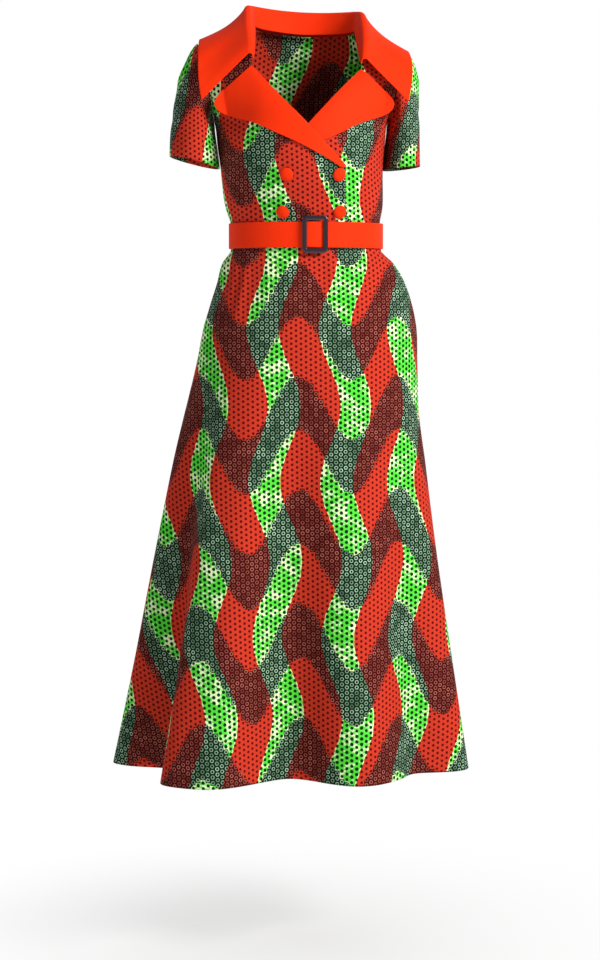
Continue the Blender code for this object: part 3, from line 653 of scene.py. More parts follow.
# Shader formulas
class Term:
    """A number in a material's node tree that formulas can be written with."""

    def __init__(self, tree, socket):
        self.tree = tree
        self.socket = socket

    def node(self, operation, *others):
        """A math node that takes the number and any others."""
        made = self.tree.nodes.new("ShaderNodeMath")
        made.operation = operation
        for slot_number, value in enumerate((self, *others)):
            if isinstance(value, Term):
                self.tree.links.new(value.socket, made.inputs[slot_number])
            else:
                made.inputs[slot_number].default_value = value
        return Term(self.tree, made.outputs[0])

    def flip(self):
        """1 minus the number."""
        return self * -1.0 + 1.0

    def ramp(self, low, high):
        """0 at low and 1 at high, on a soft curve between."""
        made = self.tree.nodes.new("ShaderNodeMapRange")
        made.interpolation_type = "SMOOTHSTEP"
        self.tree.links.new(self.socket, made.inputs["Value"])
        made.inputs["From Min"].default_value = low
        made.inputs["From Max"].default_value = high
        return Term(self.tree, made.outputs["Result"])


TERM_OPERATIONS = {
    "__add__": "ADD",
    "__sub__": "SUBTRACT",
    "__mul__": "MULTIPLY",
    "__truediv__": "DIVIDE",
    "floor": "FLOOR",
    "part": "FRACT",
    "cosine": "COSINE",
    "size": "ABSOLUTE",
    "root": "SQRT",
    "below": "LESS_THAN",
    "least": "MINIMUM",
}
for word, operation in TERM_OPERATIONS.items():
    setattr(Term, word, partialmethod(Term.node, operation))


def blend(tree, share, a, b):
    """A colour between a and b by a share."""
    made = tree.nodes.new("ShaderNodeMix")
    made.data_type = "RGBA"
    tree.links.new(share.socket, made.inputs["Factor"])
    for value, socket in ((a, made.inputs["A"]), (b, made.inputs["B"])):
        if isinstance(value, bpy.types.NodeSocket):
            tree.links.new(value, socket)
        else:
            socket.default_value = (*value, 1.0)
    return made.outputs["Result"]


def linear(*steps):
    """A colour given in 8-bit steps of red, green and blue, as light values."""
    return tuple(((v / 255 + 0.055) / 1.055) ** 2.4 if v > 10 else v / 255 / 12.92 for v in steps)


def shade(tree, share, ink):
    """A cloth's ground colour, between its two inks by a share."""
    first, second = INKS[ink]
    return blend(tree, share, linear(*first), linear(*second))


def new_material(name, roughness, sheen, specular=0.35):
    """A Principled material and its node tree and shader."""
    made = bpy.data.materials.new(name)
    made.use_nodes = True
    shader = made.node_tree.nodes["Principled BSDF"]
    shader.inputs["Roughness"].default_value = roughness
    shader.inputs["Sheen Weight"].default_value = sheen
    shader.inputs["Sheen Roughness"].default_value = 0.45
    shader.inputs["Specular IOR Level"].default_value = specular
    return made, made.node_tree, shader


def cut_coordinates(tree):
    """The flat place in the cut as two numbers, in metres."""
    place = tree.nodes.new("ShaderNodeUVMap")
    place.uv_map = "cut"
    split = tree.nodes.new("ShaderNodeSeparateXYZ")
    tree.links.new(place.outputs["UV"], split.inputs["Vector"])
    return place.outputs["UV"], Term(tree, split.outputs["X"]), Term(tree, split.outputs["Y"])


def noise(tree, vector, scale, detail=2.0):
    """Soft noise over the cut, about 0 to 1."""
    made = tree.nodes.new("ShaderNodeTexNoise")
    tree.links.new(vector, made.inputs["Vector"])
    made.inputs["Scale"].default_value = scale
    made.inputs["Detail"].default_value = detail
    return Term(tree, made.outputs["Fac"])


WEAVE_PITCH = 0.00055


def object_noise(tree, scale, detail=2.0):
    """Soft noise over a piece's own space, about 0 to 1."""
    place = tree.nodes.new("ShaderNodeTexCoord")
    return noise(tree, place.outputs["Object"], scale, detail)


def add_bump(tree, shader, height, strength, distance):
    """Bump from a height."""
    bump = tree.nodes.new("ShaderNodeBump")
    bump.inputs["Strength"].default_value = strength
    bump.inputs["Distance"].default_value = distance
    tree.links.new(height.socket, bump.inputs["Height"])
    tree.links.new(bump.outputs["Normal"], shader.inputs["Normal"])


def weave_bump(tree, vector, u, v, shader, strength=0.25):
    """A plain weave's threads and a little slubbiness, as bump."""
    over = (u * (2 * pi / WEAVE_PITCH)).cosine()
    under = (v * (2 * pi / WEAVE_PITCH)).cosine()
    slub = noise(tree, vector, 900.0, detail=3.0)
    add_bump(tree, shader, over * under * 0.5 + slub, strength, 0.0002)


# Colours: for each cloth the two inks that its ground varies between, in 8-bit steps of red, green and blue
INKS = {
    "red": ((206, 62, 42), (190, 46, 28)),
    "green": ((80, 214, 56), (232, 252, 196)),
    "dark_green": ((8, 46, 20), (4, 30, 12)),
    "maroon": ((80, 12, 9), (56, 5, 5)),
    "red_orange": ((248, 54, 5), (240, 45, 2)),
    "plum": ((44, 28, 38), (30, 18, 28)),
    "thread": ((12, 52, 26), (28, 84, 44)),
}

# The wax print, in metres of the cut
BAND_PERIOD = 0.1155
GREEN_SHARE = 0.452
BAND_START = -0.0893
BAND_SWAY = 0.0165
BAND_SWAY_PERIOD = 0.2427
BAND_SWAY_AT = -0.6045
DARK_PERIOD = 0.1789
DARK_SHARE = 0.480
DARK_LEVEL = -0.4710
DARK_WAVE = 0.0499
DARK_WAVE_PERIOD = 0.1706
DARK_WAVE_AT = -0.0237
DOT_ACROSS = 0.0077
DOT_ALONG = 0.0083
BAND_EDGE_KEPT = 0.80
DARK_EDGE_KEPT = 0.35
DOT_RED = 0.0021
DOT_GREEN = 0.0028
RING_MIDDLE = 0.0024
RING_LINE = 0.0007
HALO = 0.0016
Cell = namedtuple("Cell", "column row centre_u centre_v off_u off_v radius")


def print_cell(u, v):
    """The cell of the staggered grid that a place is in, and the place's distance from the cell's middle."""
    column = (u / DOT_ACROSS).floor()
    stagger = (column * 0.5).part()
    row = (v / DOT_ALONG + stagger).floor()
    centre_u = (column + 0.5) * DOT_ACROSS
    centre_v = (row + 0.5 - stagger) * DOT_ALONG
    off_u = u - centre_u
    off_v = v - centre_v
    radius = (off_u * off_u + off_v * off_v).root()
    return Cell(column, row, centre_u, centre_v, off_u, off_v, radius)


def print_bands(v, cell):
    """Whether a place is in a green band, whether in a dark one, and how near the bands' edges it is."""
    band_u = cell.centre_u + cell.off_u * BAND_EDGE_KEPT
    sway = ((v - BAND_SWAY_AT) * (2 * pi / BAND_SWAY_PERIOD)).cosine() * BAND_SWAY
    across = ((band_u - sway - BAND_START) / BAND_PERIOD).part()
    edge_u = cell.centre_u + cell.off_u * DARK_EDGE_KEPT
    edge_v = cell.centre_v + cell.off_v * DARK_EDGE_KEPT
    wave = ((edge_u - DARK_WAVE_AT) * (2 * pi / DARK_WAVE_PERIOD)).cosine() * DARK_WAVE
    level = ((edge_v - wave - DARK_LEVEL) / DARK_PERIOD + 0.5).part()
    from_middle = (level - 0.5).size()
    to_red = across.least((across - GREEN_SHARE).size()) * BAND_PERIOD
    to_dark = (from_middle - DARK_SHARE / 2).size() * (DARK_PERIOD * 0.7)
    halo = to_red.least(to_dark).ramp(HALO * 0.55, HALO).flip()
    return across.below(GREEN_SHARE), from_middle.below(DARK_SHARE / 2), halo


def cell_chance(tree, cell):
    """A number from 0 to 1 that is drawn once for each cell."""
    place = tree.nodes.new("ShaderNodeCombineXYZ")
    tree.links.new(cell.column.socket, place.inputs["X"])
    tree.links.new(cell.row.socket, place.inputs["Y"])
    scatter = tree.nodes.new("ShaderNodeTexWhiteNoise")
    scatter.noise_dimensions = "2D"
    tree.links.new(place.outputs["Vector"], scatter.inputs["Vector"])
    return Term(tree, scatter.outputs["Value"])


def wax_print():
    """The printed cotton. Upright wavy bands alternate green and red, and level wavy bands darken both. A
    staggered grid of dots lies on the bright cloth and one of rings on the dark cloth."""
    made, tree, shader = new_material("wax_print", 0.85, 0.0, specular=0.06)
    vector, u, v = cut_coordinates(tree)
    cell = print_cell(u, v)
    green, dark, halo = print_bands(v, cell)
    chance = cell_chance(tree, cell)
    patches = noise(tree, vector, 38.0)
    specks = noise(tree, vector, 210.0)
    fine = noise(tree, vector, 320.0)
    mottle = (patches * 0.55 + specks * 0.45).ramp(0.49, 0.59)
    is_red_dot = cell.radius.ramp(DOT_RED - 0.0002, DOT_RED + 0.0003).flip()
    is_green_dot = (cell.radius + chance * 0.0005).ramp(DOT_GREEN - 0.0002, DOT_GREEN + 0.0004).flip()
    is_ring = (cell.radius - RING_MIDDLE).size().ramp(RING_LINE * 0.5, RING_LINE * 1.1).flip()
    ring_light = (chance * 0.55 + 0.34) * (patches.ramp(0.36, 0.62) * 0.45 + 0.55)

    bright_red = shade(tree, fine, "red")
    bright_red = blend(tree, is_red_dot * 0.96, bright_red, linear(84, 8, 8))
    bright_green = shade(tree, mottle, "green")
    bright_green = blend(tree, halo * 0.8, bright_green, linear(244, 250, 196))
    bright_green = blend(tree, is_green_dot, bright_green, linear(6, 46, 16))
    dark_green = shade(tree, fine, "dark_green")
    dark_green = blend(tree, is_ring * ring_light, dark_green, linear(196, 234, 200))
    maroon = shade(tree, fine, "maroon")
    maroon = blend(tree, is_ring * ring_light * 0.8, maroon, linear(214, 128, 112))

    light_cloth = blend(tree, green, bright_red, bright_green)
    dark_cloth = blend(tree, green, maroon, dark_green)
    colour = blend(tree, dark, light_cloth, dark_cloth)
    tree.links.new(colour, shader.inputs["Base Color"])
    weave_bump(tree, vector, u, v, shader)
    return made


def plain_cloth():
    """The red-orange cotton of the collar, lapels, belt and buttons."""
    made, tree, shader = new_material("red_orange_cotton", 0.75, 0.02, specular=0.10)
    vector, u, v = cut_coordinates(tree)
    cloudy = noise(tree, vector, 14.0, detail=3.0)
    threads = noise(tree, vector, 1400.0)
    colour = shade(tree, cloudy, "red_orange")
    colour = blend(tree, threads * 0.15, colour, linear(186, 22, 1))
    tree.links.new(colour, shader.inputs["Base Color"])
    weave_bump(tree, vector, u, v, shader, strength=0.18)
    return made


def dark_plastic():
    """The buckle's polished plum-black plastic."""
    made, tree, shader = new_material("plum_plastic", 0.24, 0.0, specular=0.5)
    colour = shade(tree, object_noise(tree, 60.0, detail=3.0), "plum")
    tree.links.new(colour, shader.inputs["Base Color"])
    shader.inputs["Coat Weight"].default_value = 0.4
    shader.inputs["Coat Roughness"].default_value = 0.12
    add_bump(tree, shader, object_noise(tree, 350.0), 0.06, 0.0005)
    return made


def sewing_thread():
    """Dark green thread."""
    made, tree, shader = new_material("dark_green_thread", 0.7, 0.0, specular=0.2)
    tree.links.new(shade(tree, object_noise(tree, 2500.0), "thread"), shader.inputs["Base Color"])
    return made


PRINT = wax_print()
PLAIN = plain_cloth()
THREAD = sewing_thread()
PLASTIC = dark_plastic()


# Print on the pieces: how much of its width follows the cloth, where the rest is straight
PRINT_FOLLOWS = 0.5


def print_places(along_cloth, straight):
    """The places across the print for distances along the cloth and straight ones."""
    return PRINT_FOLLOWS * along_cloth + (1 - PRINT_FOLLOWS) * straight


# Bodice
FRONT_CREASES = [
    Crease(0.020, -0.325, 0.075, -0.235, 0.007, 0.0016),
    Crease(0.062, -0.328, 0.105, -0.250, 0.006, -0.0014),
    Crease(0.100, -0.320, 0.150, -0.215, 0.008, 0.0020),
    Crease(0.060, -0.200, 0.150, -0.165, 0.009, 0.0018),
    Crease(0.085, -0.175, 0.160, -0.135, 0.007, -0.0014),
    Crease(0.110, -0.060, 0.150, -0.120, 0.010, 0.0016),
]
BACK_CREASES = [
    Crease(-0.110, -0.325, -0.045, -0.245, 0.009, 0.0026),
    Crease(-0.070, -0.328, -0.015, -0.265, 0.007, -0.0018),
    Crease(0.030, -0.322, 0.095, -0.235, 0.009, 0.0024),
    Crease(0.075, -0.325, 0.140, -0.270, 0.007, -0.0018),
    Crease(-0.140, -0.190, -0.060, -0.120, 0.010, 0.0022),
    Crease(0.060, -0.125, 0.145, -0.200, 0.010, 0.0022),
    Crease(-0.050, -0.060, 0.055, -0.068, 0.012, 0.0018),
]
FRONT_PRINT_SHIFT = {"right": (0.0, -0.2763), "left": (-0.0251, -0.6924)}
BACK_PRINT_SHIFT = (0.03, 0.02)


def front_points(across=70, up=84):
    """Outer points and flat places of the left front."""
    foot = place_with_edge_at(BREAK_FOOT_Z)
    top = place_with_edge_at(BREAK_TOP[1])
    end = len(FRONT_ROWS) - 1.0
    low, middle = int(up * 0.32), int(up * 0.38)
    high = up - low - middle
    places = [foot * i / low for i in range(low)]
    places += [foot + (top - foot) * i / middle for i in range(middle)]
    places += [top + (end - top) * i / high for i in range(high + 1)]
    grid = []
    for place in places:
        row = bodice_row(FRONT_ROWS, place)
        start = edge_share(row)
        gap = SEAM_GAP if place < ARMPIT_ROW else SHOULDER_GAP
        line = [row_point(row, start + (1 - start) * i / across) for i in range(across + 1)]
        grid.append([point - Vector((0, gap / 2, 0)) for point in line])
    points = as_array(grid)
    arcs = arc_across(points) + points[:, :1, 0]
    across_cut = print_places(arcs, points[:, :, 0])
    flat = np.stack([across_cut, points[:, :, 2]], axis=2)
    return points, flat


def edge_fade(shape, edge=6):
    """1 inside a grid, falling to 0 at its border."""
    rows = np.minimum(np.arange(shape[0]), np.arange(shape[0])[::-1]) / edge
    columns = np.minimum(np.arange(shape[1]), np.arange(shape[1])[::-1]) / edge
    fade = np.clip(np.minimum(rows[:, None], columns[None, :]), 0, 1)
    return fade * fade * (3 - 2 * fade)


def pose_all(points):
    """Every point of a grid in the wearer's stance."""
    return np.array([[tuple(posed(point)) for point in row] for row in points])


def make_fronts():
    """The two fronts, the right one over the left one."""
    grids = {}
    for side in ("left", "right"):
        points, flat = front_points()
        rise = crease_rise(FRONT_CREASES, flat[:, :, 0], flat[:, :, 1]) * edge_fade(points.shape)
        points = points + grid_normals(points) * rise[:, :, None]
        if side == "right":
            points, flat = mirrored(points), mirrored(flat)
            lift_right_front(points)
        points = pose_all(points)
        grids[side] = points
        piece = print_piece("front_" + side, points, flat + FRONT_PRINT_SHIFT[side], "bodice_front_" + side)
    return grids


def back_top_point(x):
    """A point of the back's top edge: the shoulder seam, or the neckline between the seams."""
    side = abs(x)
    shoulder = FRONT_ROWS[-1]
    if side >= NECK_X:
        turn = radians(shoulder.turn)
        share = asin(min(1.0, side * sin(turn) / shoulder.side_x)) / turn
        point = row_point(shoulder, share)
        return Vector((x, point.y, point.z))
    neck_point = back_top_point(NECK_X)
    curve = sqrt(1 - (side / NECK_X) ** 2)
    return Vector((x, neck_point.y + BACK_NECK_DEPTH * curve, neck_point.z - BACK_NECK_DROP * curve))


def back_top_reach(share):
    """How far from the middle the back's top edge is at a share of its width."""
    side = abs(share)
    if side < BACK_NECK_SHARE:
        reach = NECK_X * side / BACK_NECK_SHARE
    else:
        tip_x = FRONT_ROWS[-1].side_x
        reach = NECK_X + (tip_x - NECK_X) * (side - BACK_NECK_SHARE) / (1 - BACK_NECK_SHARE)
    return reach if share > 0 else -reach


def make_back(across=60, up=60, shoulder_steps=12):
    """The back of the bodice."""
    last = len(BACK_ROWS) - 1.0
    shares = [2 * j / across - 1 for j in range(across + 1)]
    grid = []
    for i in range(up + 1):
        place = last * i / up
        row = bodice_row(BACK_ROWS, place)
        gap = SEAM_GAP if place < ARMPIT_ROW else SHOULDER_GAP
        grid.append([row_point(row, share) + Vector((0, gap / 2, 0)) for share in shares])
    below = grid[-1]
    brink = [back_top_point(back_top_reach(share)) + Vector((0, SHOULDER_GAP / 2, 0)) for share in shares]
    for i in range(1, shoulder_steps + 1):
        s = i / shoulder_steps
        bulge = BACK_SHOULDER_BULGE * s * (1 - s)
        grid.append([low.lerp(high, s) + bulge for low, high in zip(below, brink)])
    points = as_array([row[::-1] for row in grid])
    flat = np.stack([arc_from_middle(points), points[:, :, 2]], axis=2)
    rise = crease_rise(BACK_CREASES, flat[:, :, 0], flat[:, :, 1]) * edge_fade(points.shape)
    points = pose_all(points + grid_normals(points) * rise[:, :, None])
    piece = print_piece("back", points, flat + BACK_PRINT_SHIFT, "bodice_back")


# Sleeves
SLEEVE_CREASES = [
    Crease(0.100, -0.060, 0.210, -0.110, 0.011, 0.0026),
    Crease(0.070, -0.110, 0.190, -0.165, 0.010, -0.0020),
    Crease(0.240, -0.070, 0.170, -0.150, 0.011, 0.0024),
    Crease(0.030, -0.150, 0.120, -0.200, 0.010, 0.0022),
    Crease(0.280, -0.120, 0.200, -0.190, 0.010, -0.0018),
]
SLEEVE_PRINT_SHIFT = {"right": (-1.6737, -1.2325), "left": (-1.6257, -0.9916)}
SLEEVE_CREASE_FADE = 8


def armhole_loop(count):
    """Points round the left armhole: underarm, front, shoulder tip, back."""
    half = count // 2
    front_end = len(FRONT_ROWS) - 1.0
    loop = []
    for i in range(half):
        place = ARMPIT_ROW + (front_end - ARMPIT_ROW) * i / half
        loop.append(row_point(bodice_row(FRONT_ROWS, place), 1.0))
    loop.append(row_point(FRONT_ROWS[-1], 1.0))
    back_end = len(BACK_ROWS) - 1.0
    for i in range(half - 1, 0, -1):
        place = ARMPIT_ROW + (back_end + 1 - ARMPIT_ROW) * i / half
        if place > back_end:
            s = place - back_end
            low, high = row_point(BACK_ROWS[-1], 1.0), loop[half]
            loop.append(low.lerp(high, s) + SLEEVE_HEAD_BULGE * s * (1 - s) * 4)
        else:
            loop.append(row_point(bodice_row(BACK_ROWS, place), 1.0))
    return loop


def sleeve_points(loop, hem, rings):
    """Outer points of the left sleeve, from its hem up to the armhole."""
    around = len(loop)
    low_z, high_z = loop[0].z, loop[around // 2].z
    grid = []
    for k in range(rings + 1):
        s = (k / rings) ** SLEEVE_RINGS_SKEW
        ring = []
        for i, seam in enumerate(loop):
            angle = 2 * pi * i / around
            height = (seam.z - low_z) / (high_z - low_z)
            start = seam + Vector((SHOULDER_GAP + SLEEVE_HEAD_GAP * height, 0, 0))
            end = Vector((
                hem.x - hem.half_width * cos(angle),
                -hem.half_depth * sin(angle),
                hem.z - hem.slope * cos(angle),
            ))
            leave = UNDERARM_LEAVES.lerp(SHOULDER_LEAVES, height) + Vector((0, seam.y * SLEEVE_FORWARD, 0))
            arrive = UNDERARM_ARRIVES.lerp(SHOULDER_ARRIVES, height)
            ring.append(hermite(start, end, leave, arrive, s))
        grid.append(ring)
    return as_array(grid[::-1])


def sleeve_cut(points, hem):
    """Distances round the sleeve's cloth, and the flat places, which have one column more than the points."""
    rows, around = points.shape[:2]
    turn = np.linspace(0, 2 * pi, around + 1)
    half_turns = np.floor(turn / pi)
    straight = hem.half_width * (2 * half_turns + 1 - np.cos(turn - half_turns * pi))
    round_cloth = np.linspace(0, pi * (hem.half_width + hem.half_depth), around + 1)
    heights = np.concatenate([points[:, :, 2], points[:, :1, 2]], axis=1)
    flat = np.stack([np.tile(print_places(round_cloth, straight), (rows, 1)), heights], axis=2)
    return np.tile(round_cloth[:-1], (rows, 1)), flat


def make_sleeves(around=96, rings=52):
    """The two sleeves."""
    loop = armhole_loop(around)
    for side in ("left", "right"):
        name = "sleeve_" + side
        hem = SLEEVE_HEMS[side]
        points = sleeve_points(loop, hem, rings)
        round_cloth, flat = sleeve_cut(points, hem)
        rise = crease_rise(SLEEVE_CREASES, round_cloth, points[:, :, 2])
        from_end = np.minimum(np.arange(rings + 1), np.arange(rings + 1)[::-1])
        rise = rise * np.clip(from_end / SLEEVE_CREASE_FADE, 0, 1)[:, None]
        points = points + grid_normals(points, closed=True) * rise[:, :, None]
        if side == "right":
            points, flat = mirrored(points), mirrored(flat)
        points = pose_all(points)
        flat = flat + SLEEVE_PRINT_SHIFT[side]
        piece = print_piece(name + "_cloth", points, flat, name, closed=True)
        finish_hem(name, points, grid_normals(points, closed=True), flat, SLEEVE_HEM_ROWS, closed=True)


# Skirt
WAIST_GATHERS = [-74, -58, -47, -29, -17, 12, 27, 44, 61, 79, 98, 113, 131, 149, 163, 186, 204, 221, 242, 259]
GATHERS_START = 0.020
GATHER_DROP = (0.10, 0.05)
GATHER_RISE = (0.0020, 0.0008)
GATHER_SPREAD = 3.4
SKIRT_PRINT_SHIFT = {"skirt_front": (0.0, 0.0), "skirt_back": (0.04, 0.07)}


def bearing_gap(a, b):
    """The signed turn from bearing b to bearings a, in degrees."""
    return (a - b + 180) % 360 - 180


def skirt_rise(bearing, z):
    """How far the folds move the skirt outwards."""
    rise = np.zeros(np.broadcast(bearing, z).shape)
    for fold in SKIRT_FOLDS:
        turn = bearing_gap(bearing, fold.bearing)
        spread = np.where(turn < 0, fold.spread_before, fold.spread_after)
        depth = np.maximum(0.0, (fold.top - z) / (fold.top - HEM_Z))
        rise += fold.rise * depth**FOLD_OPENING * np.exp(-((turn / spread) ** 2))
    for number, middle in enumerate(WAIST_GATHERS):
        drop = GATHER_DROP[0] + GATHER_DROP[1] * ((number * 7) % 5) / 4
        reach = np.clip((SKIRT_TOP_Z - GATHERS_START - z) / drop, 0, 1)
        swell = np.sin(pi * reach) ** 1.5
        turn = bearing_gap(bearing, middle)
        most = GATHER_RISE[0] + GATHER_RISE[1] * (number % 3)
        rise += most * swell * np.exp(-((turn / GATHER_SPREAD) ** 2))
    return rise


def make_skirt(around=230, up=150):
    """The front and back of the skirt, which meet at the side seams."""
    heights = SKIRT_TOP_Z + (HEM_Z - SKIRT_TOP_Z) * (1 - np.linspace(0, 1, up + 1)) ** 0.9
    reads = {
        column: np.array([smooth_read(SKIRT_GIRTHS, "z", column, z) for z in heights])[:, None]
        for column in ("right", "left", "front", "back")
    }
    for name, middle, towards_seam in (("skirt_front", 0, -1), ("skirt_back", 180, 1)):
        bearing = middle + np.linspace(-90, 90, around + 1)[None, :]
        angle = np.radians(bearing)
        z = heights[:, None] * np.ones_like(bearing)
        rise = skirt_rise(bearing, z)
        to_side, to_front = np.sin(angle), np.cos(angle)
        reach_x = np.where(to_side > 0, reads["left"], reads["right"]) + rise
        reach_y = np.where(to_front > 0, reads["front"], reads["back"]) + rise
        points = np.stack([reach_x * to_side, -reach_y * to_front + towards_seam * SEAM_GAP / 2, z], axis=2)
        straight = points[:, :, 0] * -towards_seam
        flat_u = print_places(arc_from_middle(points), straight)
        flat = np.stack([flat_u, z], axis=2) + SKIRT_PRINT_SHIFT[name]
        piece = print_piece(name + "_cloth", points, flat, name)
        finish_hem(name, points, grid_normals(points), flat, SKIRT_HEM_ROWS)


# Collar and lapels
def collar_rows():
    """The stations with their points as vectors, led by the mirror image of the second one."""
    rows = [Station(Vector(s.seam), Vector(s.roll), Vector(s.edge), s.sag) for s in COLLAR_STATIONS]
    beyond = [Vector((-point.x, point.y, point.z)) for point in rows[1][:3]]
    return [Station(*beyond, rows[1].sag)] + rows


def collar_line(place, stand_steps=6, roll_steps=10, fall_steps=26):
    """One section of the collar, from the neck seam over the roll to the outer edge."""
    station = smooth_row(collar_rows(), place + 1)
    fall = station.edge - station.roll
    flat = Vector((fall.x, fall.y, 0)).normalized()
    roll_centre = station.roll + flat * ROLL_RADIUS
    line = [station.seam.lerp(station.roll, STAND_SHARE * i / stand_steps) for i in range(stand_steps)]
    for i in range(roll_steps + 1):
        turn = radians(ROLL_START - ROLL_TURN * i / roll_steps)
        line.append(roll_centre + flat * ROLL_RADIUS * cos(turn) + Vector((0, 0, ROLL_RADIUS * sin(turn))))
    start = line[-1]
    for i in range(1, fall_steps + 1):
        s = i / fall_steps
        point = start.lerp(station.edge, s)
        point.z -= station.sag * sin(pi * s**SAG_SKEW)
        line.append(point)
    return line


def make_collar(along=150):
    """The collar, one piece from front end to front end."""
    last = len(COLLAR_STATIONS) - 1
    lines = []
    for i in range(along + 1):
        place = last * (1 - 2 * i / along)
        side = -1 if place < 0 else 1
        lines.append([posed((side * x, y, z)) for x, y, z in collar_line(abs(place))])
    points = as_array(list(zip(*lines)))
    lengths = np.linalg.norm(np.diff(points, axis=0), axis=2)
    flat_v = np.concatenate([np.zeros((1, along + 1)), np.cumsum(lengths, axis=0)], axis=0)
    flat = np.stack([arc_from_middle(points), flat_v], axis=2)
    piece = plain_piece("collar_cloth", points, flat, COLLAR_WALL, "collar")


def grid_tree(points):
    """A grid of points as faces that a ray can meet."""
    return BVHTree.FromPolygons(points.reshape(-1, 3).tolist(), grid_faces(*points.shape[:2]))


def seat_on(cloth, x, z):
    """Where a line from straight in front meets a cloth, and the direction out of the cloth there."""
    seat, outwards, _, _ = cloth.ray_cast(Vector((x, -1, z)), Vector((0, 1, 0)))
    return seat, outwards


def lapel_points(across=26, down=90):
    """Outer points of the left lapel, from the break line to its outline."""
    last = len(LAPEL_OUTLINE) - 1
    foot = Vector((-BREAK_FOOT_X, BREAK_FOOT_Z)) + LAPEL_FOOT_IN
    head = Vector(BREAK_TOP) + LAPEL_HEAD_IN
    grid = []
    for k in range(down + 1):
        inner = head.lerp(foot, (k / down) ** LAPEL_ROWS_SKEW)
        outer = Vector(smooth_row(LAPEL_OUTLINE, last * k / down))
        open_part = rise_between(inner.x, *LAPEL_OPENS_X)
        brink = inner + LAPEL_FOLD
        row = [
            off_chest(brink.x, brink.y, -CLOTH_WALL - LAPEL_FOLD_DEPTH),
            off_chest(brink.x, brink.y, COLLAR_WALL / 2),
        ]
        for i in range(across + 1):
            s = i / across
            flat = inner.lerp(outer, s)
            roll = LAPEL_ROLL * sin(pi * s**LAPEL_ROLL_SKEW) * open_part
            lifted = LAPEL_EDGE_LIFT_CLOSED + (1 - LAPEL_EDGE_LIFT_CLOSED) * open_part
            roll += LAPEL_EDGE_LIFT * s**4 * lifted
            row.append(off_chest(flat.x, flat.y, COLLAR_WALL + LAPEL_REST + roll))
        grid.append(row)
    return as_array(grid[::-1])


def make_lapels(fronts):
    """The lapels, laid on the fronts' outer faces."""
    for side in ("left", "right"):
        points = lapel_points()
        if side == "right":
            points = mirrored(points)
            lift_right_front(points)
        points = pose_all(points)
        cloth = grid_tree(fronts[side])
        for row in points:
            for point in row:
                seat, outwards = seat_on(cloth, point[0], point[2])
                if seat:
                    point[1] = min(point[1], seat.y - (COLLAR_WALL + LAPEL_SEAT) / abs(outwards.y))
        flat = np.stack([points[:, :, 0], points[:, :, 2]], axis=2)
        piece = plain_piece("lapel_" + side + "_cloth", points, flat, COLLAR_WALL, "lapel_" + side)


# Belt, buckle and buttons
def belt_point(bearing, outwards):
    """A point of the belt's path round the waist."""
    angle = radians(bearing)
    depth = BELT_FRONT_DEPTH if cos(angle) > 0 else BELT_BACK_DEPTH
    return Vector(((BELT_HALF_WIDTH + outwards) * sin(angle), -(depth + outwards) * cos(angle), 0))


def make_belt(count=240, up=10):
    """The strap, which starts inside the buckle, goes round the waist and ends over its own start."""
    middle = BUCKLE_X / BELT_HALF_WIDTH * 180 / pi
    first = middle - BELT_END_BEARING
    last = middle + 360 + BELT_END_BEARING
    over = STRAP_WALL + BAR_ROOM
    rows = []
    for k in range(up + 1):
        row = []
        for i in range(count + 1):
            bearing = first + (last - first) * i / count
            ramp = rise_between(bearing, last - BELT_END_RISE[0], last - BELT_END_RISE[1])
            point = belt_point(bearing, STRAP_WALL + over * ramp)
            point.z = BELT_Z + BELT_WIDTH * (k / up - 0.5)
            row.append(point)
        rows.append(row)
    points = as_array(rows)
    flat = np.stack([arc_across(points), points[:, :, 2]], axis=2)
    piece = plain_piece("belt_strap", points, flat, STRAP_WALL, "belt", rounded=0.0008)
    normals = grid_normals(points)
    for row in (1, up - 1):
        add_stitches("belt_stitches_%d" % row, points[row], normals[row], PLAIN)


def rounded_loop(width, height, corner, steps=10):
    """Round a rounded rectangle: the middle of each corner's arc and the directions out of it."""
    half_width, half_height = width / 2 - corner, height / 2 - corner
    loop = []
    for quarter, (side_x, side_z) in enumerate(((1, 1), (-1, 1), (-1, -1), (1, -1))):
        for i in range(steps + 1):
            angle = radians(90 * quarter + 90 * i / steps)
            loop.append((side_x * half_width, side_z * half_height, cos(angle), sin(angle)))
    return loop


def rounded(value, power):
    """A sine or cosine drawn out towards a square's side, with its sign."""
    return abs(value) ** power * (1 if value > 0 else -1)


def add_block(form, middle, size):
    """A block along the axes."""
    for vertex in bmesh.ops.create_cube(form, size=1)["verts"]:
        vertex.co = Vector([m + c * s for m, c, s in zip(middle, vertex.co, size)])


